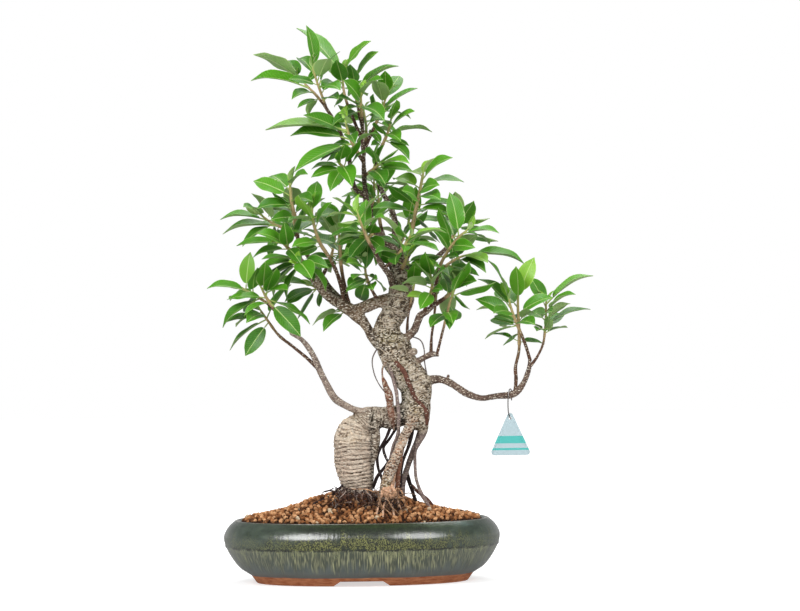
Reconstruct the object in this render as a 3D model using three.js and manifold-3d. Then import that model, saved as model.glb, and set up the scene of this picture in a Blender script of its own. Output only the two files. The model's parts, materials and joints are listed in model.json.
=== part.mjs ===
// A chinese banyan trained as a bonsai, in its oval glazed pot, in millimetres with +Z up.
// The pot's foot stands on z = 0 and the side that the tree is shown from faces -Y.

import Module from 'manifold-3d';
import * as THREE from 'three';
import { mergeVertices } from 'three/addons/utils/BufferGeometryUtils.js';

// Driving dimensions of the pot and its soil
const POT_LENGTH = 306;
const POT_DEPTH = 236;
const POT_SIDES = 32;
const OVAL_POWER = 2.2;
const POT_HEIGHT = 69;
const FLOOR_TOP = 14;
const FOOT_NOTCH = { width: 52, height: 6, reach: 38 };
const DRAIN_HOLE = { across: 18, sides: 12, offset: 66 };
const DRAIN_MESH = { size: 34, thick: 0.9, bars: 3, bar: 3 };
const SOIL_EDGE = 66.5;
const MOUND = { x: -6, y: 4, rise: 31 };
const GRAIN_RELIEF = 1.2;
const GRAIN_SEED = 611;

// Driving dimensions of the tree: sides of its limbs by their thickest radius in plan steps, its shoots and
// its leaves, whose petiole, fold and lift are shares of their length
const THICKER_THAN = { trunk: 8, limb: 3.2, twig: 1.9 };
const TRUNK_SIDES = 10;
const LIMB_SIDES = 6;
const TWIG_SIDES = 5;
const THREAD_SIDES = 4;
const STEM_SIDES = 4;
const LEAF = { length: 47, ratio: 0.4, petiole: 0.17, thick: 1.1, fold: 0.1, lift: 0.13 };
const PETIOLE_RADIUS = 0.8;
const BLADE_STATIONS = [0.16, 0.48, 0.8];
const BLADE_CURVE = { forward: 0.85, fullness: 0.72 };
const GOLDEN_ANGLE = Math.PI * (3 - Math.sqrt(5));
const GAP = 0.3;
const ROOT_CLEARANCE = 1.2 * GAP;
const SMALLEST_STEP = 0.18;
const MERGE_STEP = 1e-3;

// How leaves find their places: the clearance and tries of each, the part of the green stem that they stand
// on, and how far chance and each further try change their length, turn, lean and roll
const LEAF_SPARE = 0.55;
const LEAF_TRIES = 24;
const LEAF_SEED = { first: 1000, step: 77 };
const LEAF_SPAN = { from: 0.12, to: 0.985 };
const SEEN_LEAF = {
  least: 0.88, spread: 0.24, leastDepth: 4, frontShare: 0.6, step: 5, fullTries: 5, lateDepth: 0.5,
  leastFace: 0.15, mostFace: 0.97,
};
const SPIRAL_LEAF = {
  least: 0.8, spread: 0.35, shrink: 0.04, turnSpread: 0.5, leastLean: 0.75, leanSpread: 0.5, droop: 0.15,
  roll: 0.9,
};

// Driving dimensions of the tag and its wire
const TAG = { width: 46.8, height: 51.4, thick: 1.2, corner: 3.4, hole: 3.2, holeDrop: 10.4 };
const CORNER_PARTS = 3;
const HOLE_SIDES = 10;

// The tree's routes are laid out on a front-view plan: x to the right and y down, in steps of PLAN_STEP,
// with a depth in millimetres behind the pot's middle. The plan is drawn as it is seen from PLAN_EYE in
// front, so what stands nearer is drawn larger, and its sheet is turned by PLAN_TILT.
const PLAN_STEP = 1.11;
const PLAN_MIDDLE = [400, 305.5];
const PLAN_TILT = 0.8 * Math.PI / 180;
const PLAN_EYE = { x: 45.8, z: 304.5, away: 4000 };

// Materials
const POT_GREEN = { color: 0x4d5f49, roughness: 0.3 };
const SOIL_BROWN = { color: 0xa4693a, roughness: 0.95 };
const BARK = { color: 0x8d7a64, roughness: 0.85 };
const LEAF_GREEN = { color: 0x4f8f33, roughness: 0.45 };
const TAG_GREY = { color: 0xe2e5e8, roughness: 0.5 };
const WIRE_GREY = { color: 0x8f8a88, roughness: 0.4, metalness: 0.8 };
const MESH_BLACK = { color: 0x2b2d2c, roughness: 0.6 };

// Pot profile as [inset from the widest outline, height], from the middle of the underside to the floor
const POT_PROFILE = [
  [46, 4], [46, 0], [35.5, 0], [29, 9], [17.3, 16.7], [8.6, 27.9], [1.4, 42], [0, 51.5], [4.6, 61.2],
  [11.2, 67.5], [14.2, POT_HEIGHT], [17.2, 67.6], [18, 64], [10, 53], [9, 42], [18, 24], [33, FLOOR_TOP],
];
const SOIL_PROFILE = [
  [33.7, FLOOR_TOP + GAP], [18.6, 24.3], [9.5, 42], [10.5, 53], [18.5, 63.9], [18, SOIL_EDGE],
];

// Rise of the soil's mound as a share of its full height, from its middle (0) to the pot's rim (1)
const MOUND_SLOPE = [
  [0, 1], [0.18, 0.98], [0.35, 0.84], [0.5, 0.56], [0.65, 0.38], [0.82, 0.24], [0.92, 0.16], [1, 0],
];
const SOIL_RINGS = [0.92, 0.78, 0.64, 0.5, 0.36, 0.2];

// Limbs of the tree, as [plan x, plan y, depth, radius in plan steps]; each starts inside what it grows from
const LIMBS = {
  trunk: [
    [401, 260, -2, 8.5], [401, 274, -5, 10.5], [401, 287, -7, 11.5], [401, 298, -7, 14.5],
    [396, 309, -5, 12.5], [388, 323, -3, 12.3], [388, 334, -2, 13.5], [393, 346, 0, 17.5],
    [398, 358, 1, 16.5], [403.8, 368, 1, 16.6], [411.5, 378.5, 0, 17.4], [416, 389.5, -2, 16.2],
    [415, 400, -4, 15], [416.5, 411, -6, 14.4], [418, 422, -7, 12],
  ],
  knot: [[408, 352, -4, 3.2], [414.4, 351.6, -13, 3.8]],
  stump: [
    [366, 414, -2, 8], [360, 420.5, -2, 12.8], [354.5, 428, -2, 17.6], [352.8, 438, -2, 19.4],
    [353, 451, -2, 19.2], [354, 465, -2, 18], [355.5, 479, -2, 16.4], [356.5, 491, -2, 15.4],
    [357, 512, -2, 14],
  ],
  bridge: [
    [358, 417, 0, 8], [369, 416, 0, 10], [380, 417, -1, 11.3], [392, 418, -3, 11.8], [404, 414, -5, 12],
  ],
  root_beside_stump: [
    [375.4, 416, -4.5, 5.2], [375.2, 438, -5.5, 5], [374.6, 453, -6, 4.2], [373.4, 467, -6, 3.2],
    [373, 482, -6, 2.5], [373, 512, -6, 2.2],
  ],
  stump_crease: [[370, 415, -1, 4.5], [370.4, 430, -1, 4.3], [370.6, 446, -1, 3.4]],
  root_right_edge: [
    [425, 412, -8, 5], [424, 430, -8, 4.2], [416, 446, -6, 3.3], [410, 460, -4, 3], [405, 475, -2, 2.8],
    [402, 490, 0, 2.8], [400, 512, 2, 2.6],
  ],
  root_thick: [
    [417, 407, -14, 5], [413, 418, -17, 5.4], [404.5, 436, -21, 5], [396.5, 455, -25, 5.2],
    [389.5, 473, -29, 5.6], [385, 488, -33, 6], [383, 514, -38, 5],
  ],
  rootlet_a: [[385, 486, -34, 2.6], [381.5, 495, -46, 1.5], [379, 504, -60, 1.1], [375, 521, -80, 0.9]],
  rootlet_b: [
    [386, 488, -36, 2.8], [386.5, 499, -52, 1.6], [383.5, 509, -68, 1.2], [382.5, 524, -85, 0.9],
  ],
  rootlet_c: [[388, 486, -34, 2.6], [391.5, 497, -48, 1.7], [392.5, 508, -64, 1.2], [396, 522, -80, 0.9]],
  rootlet_d: [[389, 482, -30, 2.6], [395, 493, -40, 1.8], [398, 503, -50, 1.3], [404, 517, -63, 1]],
  root_flat_left: [
    [387, 360, -8, 2.2], [382.6, 368, -9, 1.6], [382.4, 376, -10, 1.6], [385.6, 386, -13, 3.2],
    [389, 396, -16, 4.6], [391.6, 410, -18, 4.4], [393.4, 422, -17, 3.4], [394, 434, -13, 2],
  ],
  root_centre: [
    [390, 366, -9, 2.2], [392.8, 378, -11, 1.6], [395.6, 389, -14, 1.8], [397.6, 402, -17, 1.9],
    [398.8, 419, -18, 1.9], [398, 434, -15, 1.9], [393.4, 446, -12, 1.7], [390.5, 460, -14, 2],
    [388, 474, -22, 2],
  ],
  root_over_trunk: [
    [397, 363, -15, 2.4], [404, 372, -20, 2.4], [409.5, 385, -19.5, 2.4], [414, 396, -20, 2.4],
    [420, 404, -19, 2.5], [425.5, 411, -16, 2.8], [426, 423, -12, 3],
  ],
  root_cross_left: [
    [392, 424, -6, 1.6], [386, 438, -6, 1.6], [380, 449, -6, 1.6], [377.5, 458, -5, 1.5],
    [378.5, 468, -6, 1.5], [382, 479, -18, 1.5], [385, 490, -30, 1.5],
  ],
  root_cross_down: [
    [396, 428, -5, 1.5], [388, 441, -4, 1.4], [383.5, 449, -5, 1.4], [387, 460, -9, 1.4],
    [391, 467, -20, 1.4],
  ],
  root_cross_back: [[391, 458, -16, 1.6], [384, 468, -8, 1.7], [377, 477, -7, 1.8], [373, 487, -6, 1.8]],
  root_inner_right: [
    [421, 424, -3, 3], [414, 440, -1, 2.3], [409, 453, 1, 2], [404.5, 467, 4, 1.9], [402, 480, 8, 1.9],
    [401, 508, 12, 1.8],
  ],
  root_behind_thick: [
    [413.5, 424, -8, 2.2], [410, 441, -8, 1.8], [404.8, 456, -8, 1.6], [401.2, 470, -9, 1.6],
    [399.6, 508, -10, 1.8],
  ],
  root_far_right: [
    [418, 438, -7, 2], [415.3, 452, -9, 1.6], [415, 466, -11, 1.6], [417, 482, -13, 1.7],
    [422, 495, -14, 1.9], [429, 507, -15, 1.8], [434, 519, -17, 1.4],
  ],
  root_right_fork: [[406, 470, -2, 2.2], [410, 484, 0, 2.1], [414, 496, 2, 2], [419, 512, 4, 1.7]],
  root_right_low: [
    [410, 484, 0, 1.8], [419, 493, 3, 1.6], [427, 499, 5, 1.7], [434, 508, 7, 1.6], [440, 518, 9, 1.3],
  ],
  root_upright_a: [
    [397, 453, -22, 2.6], [394, 470, -24, 2.2], [392.5, 486, -26, 2.3], [393, 512, -28, 2],
  ],
  root_upright_b: [
    [402, 444, -16, 2.4], [399.5, 464, -13, 2.4], [397.5, 480, -13, 2.6], [396, 512, -15, 2.4],
  ],
  root_wire_left: [
    [379, 345, -4, 0.8], [372.5, 358, -8, 0.6], [373.5, 371, -10, 0.6], [379, 384, -12, 0.6],
    [388, 396, -14, 0.7],
  ],
  root_wire_right: [
    [410, 336, -3, 0.8], [420, 340, -6, 0.6], [424, 349, -7, 0.6], [424.5, 361, -7, 0.6],
    [427, 376, -4, 0.8],
  ],
  root_surface: [[342, 486, -14, 2.4], [328, 498, -22, 1.5], [315, 503, -28, 1.7], [303, 513, -34, 1.1]],
  root_hidden_left: [[352, 500, -4, 7], [285, 536, -14, 2.4]],
  root_hidden_front: [[358, 500, -10, 6], [342, 540, -68, 2.4]],
  root_hidden_back: [[360, 500, 4, 6], [372, 534, 74, 2.4]],
  root_hidden_right: [[386, 496, -30, 5], [436, 538, -12, 2.4]],
  low_branch: [
    [390, 417, -4, 6], [372, 413, -4, 4.8], [358, 411, -6, 3.9], [345.5, 405.5, -8, 3.7],
    [334, 397.5, -10, 3.6], [327, 385, -12, 3.5], [320, 371, -14, 3.3], [312, 353, -16, 2.9],
    [302, 340, -18, 2.7], [291, 333, -18, 2.5],
  ],
  left_branch: [
    [388, 345, 0, 8], [374, 342, -2, 6], [366.4, 325, -6, 6.6], [354.4, 313, -8, 6.8], [341, 304, -8, 6],
    [327, 295, -8, 5.2], [317, 283, -8, 4.6], [307, 268, -8, 4], [294, 253, -8, 3],
  ],
  left_brace: [[352, 310, -8, 5], [366, 304.4, -7, 5.4], [380, 301.2, -6, 5.6], [400, 298, -6, 7]],
  right_branch: [
    [414, 384, 0, 9], [430, 380, 0, 5.4], [441, 379.5, 0, 4], [452, 384, -2, 3.8], [466, 393, -4, 3.4],
    [481, 398, -6, 3.2], [497, 396.3, -8, 3.4], [509, 395.5, -10, 4.2], [517, 391.5, -10, 3.5],
    [524, 382, -10, 2.8], [528.5, 370, -10, 2.4], [530, 358, -10, 2.1],
  ],
  right_branch_bud: [[447, 382, -1, 2], [448.5, 376, -1, 1.6]],
  small_branch: [
    [408, 364, -4, 5], [418, 361, -6, 3.4], [427, 356.3, -7, 3.2], [433, 354, -8, 3.6],
    [438.5, 355.5, -8, 1.6],
  ],
  middle_branch: [
    [397, 342, -2, 6], [407, 337, -4, 4.4], [415, 329, -6, 3.8], [420, 316, -8, 3.6],
    [427, 311, -10, 3.2], [437, 303, -12, 2.8],
  ],
  leader: [
    [401, 264, -4, 8], [396, 251, -6, 5.2], [386, 241, -8, 4.3], [375, 229, -10, 3.9],
    [368, 210, -8, 3.4], [365, 188, -5, 3], [363.5, 168, 0, 2.8], [363.5, 150, 3, 2.6],
    [362.5, 134, 5, 2.3], [362, 119, 4, 2],
  ],
  leader_right: [
    [398, 256, 0, 4.8], [395.5, 240, 6, 3.8], [394.5, 220, 10, 3.3], [389, 204, 12, 3],
    [381, 190, 14, 2.7], [376.5, 174, 15, 2.5], [375, 160, 15, 2.2],
  ],
  leader_left: [
    [366, 196, -6, 2.8], [355, 188, 1, 2.4], [351, 168, 7, 2.3], [347, 150, 9, 2.1], [338, 128, 6, 1.9],
    [325, 106, -2, 1.7],
  ],
  back_branch: [[401, 292, 0, 7], [396, 276, 24, 4.2], [388, 252, 46, 3.2], [382, 232, 62, 2.5]],
  back_left_branch: [[342, 303, -6, 4.6], [330, 288, 22, 3.4], [316, 268, 46, 2.8], [304, 250, 62, 2.2]],
  back_right_branch: [[403, 284, 2, 6], [420, 270, 28, 3.4], [438, 256, 50, 2.6], [448, 246, 62, 2.1]],
  front_branch: [[398, 292, -10, 6], [390, 276, -34, 3.4], [380, 262, -54, 2.6], [374, 250, -66, 2.2]],
};

// Leafy shoots. The route is a limb that is woody up to the share `woody` and green beyond it. A leaf is
// [plan x and y of its tip, width seen from the front in plan steps], with a minus where its pale underside
// shows. `more` is the number of further leaves that stand round the shoot by the rule of the golden angle.
const SHOOTS = {
  top_far_left: {
    route: [[325, 106, -2, 1.7], [316, 95, 4, 1.5], [307, 86, 10, 1.2], [299, 77, 14, 0.9]],
    woody: 0.2,
    leaves: [[292, 97, 6], [251, 77, 11], [254, 53, -10], [286, 60, 10]],
    more: 0,
  },
  top_left: {
    route: [[327, 109, -1, 1.5], [322, 96, -8, 1.4], [317, 82, -14, 1.2], [313, 69, -16, 0.9]],
    woody: 0.2,
    leaves: [[334, 80, 9], [340, 88, 6], [328, 58, -5], [298, 56, 5], [307, 25, 17]],
    more: 1,
  },
  top_middle: {
    route: [
      [362, 140, 4, 2], [353, 118, 3, 1.8], [346, 100, 4, 1.5], [343, 84, 5, 1.2], [344, 69, 6, 0.9],
    ],
    woody: 0.5,
    leaves: [[336, 108, 8], [316, 60, 6], [297, 27, 9], [370, 40, 12]],
    more: 1,
  },
  top_inner: {
    route: [[362.4, 129, 4.6, 1.8], [358, 108, 14, 1.5], [355, 90, 16, 1.2], [355, 78, 18, 0.9]],
    woody: 0.4,
    leaves: [[397, 63, 5], [350, 64, 7], [378, 51, 12]],
    more: 2,
  },
  leader_tip: {
    route: [[362.2, 124, 4.4, 1.9], [361.5, 115, 2, 1.8], [361, 106, -2, 1.5], [361, 95, -4, 1]],
    woody: 0.3,
    leaves: [[332, 124, 8], [384, 118, 8], [343, 80, 15], [381, 77, 9]],
    more: 1,
  },
  top_right: {
    route: [[363.5, 152, 3, 2.2], [372, 132, 12, 1.9], [381, 112, 18, 1.5], [387, 94, 20, 1]],
    woody: 0.45,
    leaves: [[371, 95, 9], [418, 88, 6], [376, 80, 7], [400, 76, 11], [385, 71, 7]],
    more: 1,
  },
  right_upper: {
    route: [[375, 162, 15, 2.2], [382, 146, 12, 1.8], [388, 132, 10, 1.4], [391, 120, 8, 1]],
    woody: 0.3,
    leaves: [[410, 158, 5], [400, 139, 9], [415, 111, 10], [374, 118, 8], [398, 101, 8]],
    more: 1,
  },
  left_big: {
    route: [[363.5, 162, 1, 2.2], [356, 150, -10, 1.9], [350, 138, -17, 1.5], [346, 124, -20, 1]],
    woody: 0.25,
    leaves: [
      [320, 159, 5], [294, 172, 12], [290, 133, 14], [303, 115, 13], [265, 130, 8], [341, 112, 10],
    ],
    more: 0,
  },
  left_inner: {
    route: [[352, 176, 5, 2], [345, 169, -8, 1.7], [339, 163, -20, 1.2]],
    woody: 0.3,
    leaves: [[311, 176, 9], [330, 190, 9], [352, 184, 9], [346, 146, 7]],
    more: 1,
  },
  right_inner: {
    route: [[364, 176, -3, 2], [372, 170, -16, 1.6], [379, 165, -26, 1.1]],
    woody: 0.3,
    leaves: [[385, 182, 7], [412, 170, 9], [409, 161, 6], [368, 148, 8]],
    more: 1,
  },
  right_leader: {
    route: [
      [402, 266, 0, 4], [410, 251, -2, 2.6], [411.5, 236, -3, 2.4], [413.5, 221, -4, 2.2],
      [416.5, 207, -4, 2], [420, 190, -4, 1.7], [423, 174, -4, 1.4],
    ],
    woody: 0.42,
    leaves: [
      [400, 248, 9], [439, 244, 5], [372, 208, 8], [451, 213, 7], [460, 206, 6], [403, 190, 13],
      [440, 198, 8], [438, 184, 13], [393, 177, 8], [464, 180, 6], [451, 156, 12], [411, 171, 5],
    ],
    more: 1,
  },
  right_outer: {
    route: [
      [431, 308, -11, 2.4], [436, 284, -14, 2.1], [440, 266, -17, 1.9], [448, 251, -20, 1.7],
      [458, 238, -22, 1.4], [466, 231, -23, 1],
    ],
    woody: 0.42,
    leaves: [
      [416, 272, 8], [433, 228, 14], [474, 247, 14], [447, 218, 12], [450, 192, 17], [499, 231, 5],
      [490, 243, 6],
    ],
    more: 1,
  },
  right_low_outer: {
    route: [[438, 274, -15, 2], [447, 265, -4, 1.7], [458, 258, 4, 1.4], [467, 255, 8, 1]],
    woody: 0.3,
    leaves: [[462, 248, 5], [486, 270, 6], [460, 277, 9], [488, 262, 5], [525, 260, 7]],
    more: 1,
  },
  middle_tip: {
    route: [[436, 304, -12, 2.6], [446, 297, -13, 2.2], [453, 290, -14, 1.7], [457, 283, -14, 1.1]],
    woody: 0.35,
    leaves: [[448, 319, 9], [444, 273, 9], [477, 281, 12], [464, 268, 7]],
    more: 1,
  },
  middle_front: {
    route: [[424, 313, -10, 2.2], [428, 300, -22, 1.9], [432, 288, -30, 1.5], [431, 277, -34, 1.1]],
    woody: 0.4,
    leaves: [[420, 309, 17], [446, 268, 9], [414, 264, 9], [424, 254, 8]],
    more: 1,
  },
  low_right_a: {
    route: [
      [431, 354, -8, 1.9], [431.5, 338, -3, 1.6], [434, 318, 6, 1.5], [436, 298, 16, 1.3],
      [437, 284, 22, 1],
    ],
    woody: 0.68,
    leaves: [[428, 262, 8], [449, 263, 8], [418, 281, 7]],
    more: 2,
  },
  low_right_b: {
    route: [
      [437, 354, -8, 1.7], [441, 338, -12, 1.5], [445.5, 320, -20, 1.4], [450, 302, -30, 1.2],
      [455, 288, -36, 1],
    ],
    woody: 0.45,
    leaves: [[430, 327, 5], [456, 321, 4], [470, 262, 8], [443, 262, 7]],
    more: 2,
  },
  crown_left: {
    route: [
      [530, 360, -10, 2.1], [525.5, 345, -12, 1.9], [519.5, 330, -16, 1.7], [513, 314, -20, 1.5],
      [509, 300, -22, 1],
    ],
    woody: 0.5,
    leaves: [[535, 324, 8], [476, 298, 15], [494, 312, 10], [479, 277, 5], [488, 258, 5], [502, 262, 7]],
    more: 1,
  },
  crown_middle: {
    route: [
      [515, 393, -10, 2.2], [516, 379, -8, 2], [515.5, 367, -6, 1.9], [519, 350, -4, 1.8],
      [519, 330, -4, 1.7], [518, 310, -6, 1.5], [518, 294, -8, 1.1],
    ],
    woody: 0.55,
    leaves: [
      [504, 346, 6], [490, 320, 10], [505, 327, 9], [552, 296, 12], [497, 289, 12], [516, 266, 10],
      [534, 257, 17],
    ],
    more: 1,
  },
  crown_right: {
    route: [
      [529.5, 367, -10, 2], [537, 357, -8, 1.5], [543, 344, -6, 1.4], [545, 330, -4, 1.3],
      [546, 315, -4, 1.2], [546, 302, -4, 0.9],
    ],
    woody: 0.5,
    leaves: [
      [563, 313, 6], [590, 307, 4], [530, 312, 10], [552, 312, 8], [574, 292, 7], [530, 277, 10],
      [592, 273, 4],
    ],
    more: 1,
  },
  low_left_fork: {
    route: [
      [321, 372, -14, 2.2], [309, 360, -10, 1.9], [294, 347.5, -6, 1.8], [279, 335.5, -2, 1.7],
      [268, 321, 0, 1.4], [261, 311, 0, 1],
    ],
    woody: 0.72,
    leaves: [[245, 356, 17], [229, 350, 4], [225, 322, 6], [247, 321, 10], [235, 326, 4]],
    more: 1,
  },
  low_left_tip: {
    route: [
      [292, 333, -18, 2.4], [282, 320, -18, 2.1], [272, 306, -20, 1.8], [266, 297, -22, 1.5],
      [261, 287, -22, 1],
    ],
    woody: 0.5,
    leaves: [[301, 336, 22], [311, 323, 4], [277, 268, 7], [288, 290, 7], [266, 264, 7], [254, 280, 6]],
    more: 1,
  },
  low_left_side: {
    route: [[275, 310.5, -19.4, 1.8], [264, 301, -13, 1.5], [254, 295, -10, 1.3], [244, 289, -8, 1]],
    woody: 0.3,
    leaves: [[221, 326, 7], [229, 298, 7], [258, 268, 10], [207, 286, 8], [250, 252, 20]],
    more: 0,
  },
  left_high: {
    route: [
      [300, 260, -8, 2.8], [298, 242, -8, 2.3], [296, 222, -10, 2], [291.5, 202, -12, 1.8],
      [290, 184, -12, 1.2],
    ],
    woody: 0.45,
    leaves: [
      [272, 219, 14], [263, 200, 8], [257, 207, 11], [312, 200, 9], [253, 180, 14], [271, 175, 10],
      [306, 172, 9],
    ],
    more: 1,
  },
  left_far: {
    route: [[297, 236, -9, 1.8], [285, 229, 2, 1.5], [272, 223, 8, 1.3], [261, 215, 10, 1]],
    woody: 0.3,
    leaves: [[222, 231, 5], [283, 205, 8], [220, 217, 5], [244, 205, 6]],
    more: 1,
  },
  left_fan: {
    route: [[295, 254, -8, 2.2], [289, 249, -20, 1.8], [283, 243, -28, 1.2]],
    woody: 0.3,
    leaves: [[252, 256, 7], [284, 222, 13], [258, 232, 12], [236, 246, 7]],
    more: 1,
  },
  left_droop: {
    route: [[304, 264, -8, 2.2], [302, 262, -26, 1.8], [298, 261, -40, 1.2]],
    woody: 0.35,
    leaves: [[285, 300, 8], [262, 286, 8], [271, 296, 8], [253, 272, 7], [312, 279, 15]],
    more: 1,
  },
  left_under: {
    route: [[352, 315, -6, 2.2], [346, 313, 8, 1.7], [341, 310, 18, 1.1]],
    woody: 0.4,
    leaves: [[323, 330, 5], [312, 325, -9]],
    more: 0,
  },
  left_low_side: {
    route: [[325, 292, -6, 2.2], [319, 289, 8, 1.8], [313, 286, 18, 1.2]],
    woody: 0.35,
    leaves: [[285, 305, 8], [298, 262, 8], [270, 283, 7]],
    more: 1,
  },
  centre_left: {
    route: [
      [344, 306, -8, 2.8], [341, 285, -14, 2.4], [332, 262, -20, 2.2], [320, 243, -26, 1.9],
      [314, 225, -30, 1.6], [312, 211, -32, 1],
    ],
    woody: 0.5,
    leaves: [[292, 246, 9], [279, 228, 8], [332, 202, 10], [296, 197, 9], [340, 214, 9], [317, 180, 9]],
    more: 2,
  },
  centre: {
    route: [
      [350, 309, -8, 2.6], [345, 288, -4, 2.2], [341, 265, -2, 2], [340, 246, -2, 1.7], [338, 228, -4, 1],
    ],
    woody: 0.5,
    leaves: [[330, 272, 9], [362, 262, 9], [308, 238, 9], [362, 222, 10], [322, 200, 9], [350, 193, 10]],
    more: 2,
  },
  centre_front: {
    route: [[375, 232, -10, 2.2], [370, 236, -24, 1.8], [366, 238, -34, 1.2]],
    woody: 0.3,
    leaves: [[349, 259, 10], [388, 207, 10], [345, 226, 9], [384, 250, 9]],
    more: 1,
  },
  centre_low: {
    route: [[378, 301, -7, 2], [371, 288, -20, 1.8], [366, 275, -28, 1.4], [365, 262, -32, 1]],
    woody: 0.4,
    leaves: [[360, 301, 15], [385, 291, 9], [347, 262, 9], [378, 243, 8]],
    more: 1,
  },
  trunk_front: {
    route: [[400, 272, -10, 2.4], [404, 265, -24, 1.9], [407, 257, -32, 1.2]],
    woody: 0.35,
    leaves: [[375, 253, 14], [420, 283, 8], [390, 233, 10], [428, 240, 9]],
    more: 1,
  },
  trunk_thin: {
    route: [[407, 334, -3, 1.6], [408, 317, -9, 1.4], [411, 301, -20, 1.3], [414, 286, -27, 1]],
    woody: 0.7,
    leaves: [[416, 262, 7]],
    more: 1,
  },
  leader_low: {
    route: [[370, 216, -9, 2.4], [372, 204, 8, 2], [374, 192, 20, 1.6], [374, 182, 26, 1]],
    woody: 0.35,
    leaves: [[350, 200, 10], [392, 188, 8], [360, 175, 8]],
    more: 3,
  },
  back_tip: {
    route: [[384, 238, 58, 2.4], [380, 222, 70, 2], [379, 206, 78, 1.5], [378, 192, 82, 1]],
    woody: 0.3,
    leaves: [],
    more: 8,
  },
  back_side: {
    route: [[390, 258, 42, 2.4], [400, 244, 62, 1.9], [406, 230, 76, 1.3], [410, 218, 84, 1]],
    woody: 0.3,
    leaves: [],
    more: 7,
  },
  back_left_tip: {
    route: [[306, 254, 59, 2.2], [298, 238, 70, 1.8], [294, 222, 78, 1.3], [291, 210, 82, 1]],
    woody: 0.3,
    leaves: [],
    more: 8,
  },
  back_left_side: {
    route: [[322, 277, 38, 2.2], [330, 260, 58, 1.8], [334, 244, 70, 1.3], [336, 230, 76, 1]],
    woody: 0.35,
    leaves: [],
    more: 7,
  },
  back_right_tip: {
    route: [[446, 248, 60, 2.1], [452, 238, 68, 1.8], [458, 228, 74, 1.4], [462, 220, 78, 1]],
    woody: 0.25,
    leaves: [],
    more: 7,
  },
  front_tip: {
    route: [[376, 254, -63, 2.2], [368, 240, -72, 1.8], [362, 226, -78, 1.3], [358, 214, -80, 1]],
    woody: 0.3,
    leaves: [],
    more: 7,
  },
  front_side: {
    route: [[384, 268, -46, 2.2], [396, 258, -60, 1.8], [404, 246, -68, 1.3], [410, 236, -72, 1]],
    woody: 0.3,
    leaves: [],
    more: 6,
  },
  leader_back: {
    route: [[363.5, 158, 2, 2.2], [366, 142, 22, 1.8], [366, 126, 36, 1.4], [364, 112, 44, 1]],
    woody: 0.35,
    leaves: [],
    more: 7,
  },
};

// The tag's point on the plan with its depth, and the wire that goes over the branch and through its hole
const TAG_TOP = [510, 408.7];
const TAG_DEPTH = -13.5;
const WIRE_ROUTE = [
  [511.5, 400, -4, 0.54], [511.8, 395, -3.6, 0.54], [511.2, 390, -6.2, 0.54], [510.2, 389, -10, 0.54],
  [509.2, 390.3, -13.8, 0.54], [508.4, 395, -15.9, 0.54], [508, 401, -16, 0.54], [508.2, 410, -16, 0.54],
  [509.3, 416.6, -15.4, 0.54], [510.3, 417.6, -13.5, 0.54], [510.9, 419.6, -11.6, 0.54],
];

const UP = new THREE.Vector3(0, 0, 1);
const TO_FRONT = new THREE.Vector3(0, -1, 0);

const wasm = await Module();
wasm.setup();

// Draws the same run of numbers between 0 and 1 from the same seed
function seededDraws(seed) {
  let state = seed;
  return () => {
    state = (state * 16807) % 2147483647;
    return state / 2147483647;
  };
}

function atPlan(x, y, depth) {
  const [middleX, middleY] = PLAN_MIDDLE;
  const right = (x - middleX) * Math.cos(PLAN_TILT) - (y - middleY) * Math.sin(PLAN_TILT);
  const down = (x - middleX) * Math.sin(PLAN_TILT) + (y - middleY) * Math.cos(PLAN_TILT);
  const step = PLAN_STEP * (1 + depth / PLAN_EYE.away);
  return new THREE.Vector3(PLAN_EYE.x + right * step, depth, PLAN_EYE.z - down * step);
}

// A closed surface through rings of points; a ring of one point closes an end
function loft(rings) {
  const faces = [];
  let first = 0;
  for (let i = 0; i + 1 < rings.length; i++) {
    const here = rings[i].length;
    const next = rings[i + 1].length;
    const start = first;
    const a = (k) => start + (k % here);
    const b = (k) => start + here + (k % next);
    for (let k = 0; k < Math.max(here, next); k++) {
      if (here === 1) {
        faces.push(a(0), b(k + 1), b(k));
      } else if (next === 1) {
        faces.push(a(k), a(k + 1), b(0));
      } else {
        faces.push(a(k), a(k + 1), b(k), a(k + 1), b(k + 1), b(k));
      }
    }
    first += here;
  }
  const geometry = new THREE.BufferGeometry().setFromPoints(rings.flat());
  geometry.setIndex(faces);
  return geometry;
}

function centreOf(ring) {
  const centre = new THREE.Vector3();
  for (const point of ring) {
    centre.add(point);
  }
  return centre.divideScalar(ring.length);
}

function cappedLoft(rings) {
  return loft([[centreOf(rings[0])], ...rings, [centreOf(rings[rings.length - 1])]]);
}

function toSolid(source) {
  const bare = new THREE.BufferGeometry();
  bare.setAttribute('position', source.getAttribute('position'));
  if (source.index) {
    bare.setIndex(source.index);
  }
  const merged = mergeVertices(bare, MERGE_STEP);
  const vertProperties = Float32Array.from(merged.getAttribute('position').array);
  const corners = [];
  for (let i = 0; i < merged.index.count; i += 3) {
    const [a, b, c] = merged.index.array.slice(i, i + 3);
    if (a !== b && b !== c && c !== a) {
      corners.push(a, b, c);
    }
  }
  const triVerts = Uint32Array.from(corners);
  if (signedVolume(vertProperties, triVerts) < 0) {
    triVerts.reverse();
  }
  return new wasm.Manifold(new wasm.Mesh({ numProp: 3, vertProperties, triVerts }));
}

function signedVolume(places, corners) {
  const [a, b, c] = [new THREE.Vector3(), new THREE.Vector3(), new THREE.Vector3()];
  let volume = 0;
  for (let i = 0; i < corners.length; i += 3) {
    a.fromArray(places, corners[i] * 3);
    b.fromArray(places, corners[i + 1] * 3);
    c.fromArray(places, corners[i + 2] * 3);
    volume += a.dot(b.cross(c)) / 6;
  }
  return volume;
}

function joined(solids) {
  return wasm.Manifold.union(solids);
}

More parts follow.
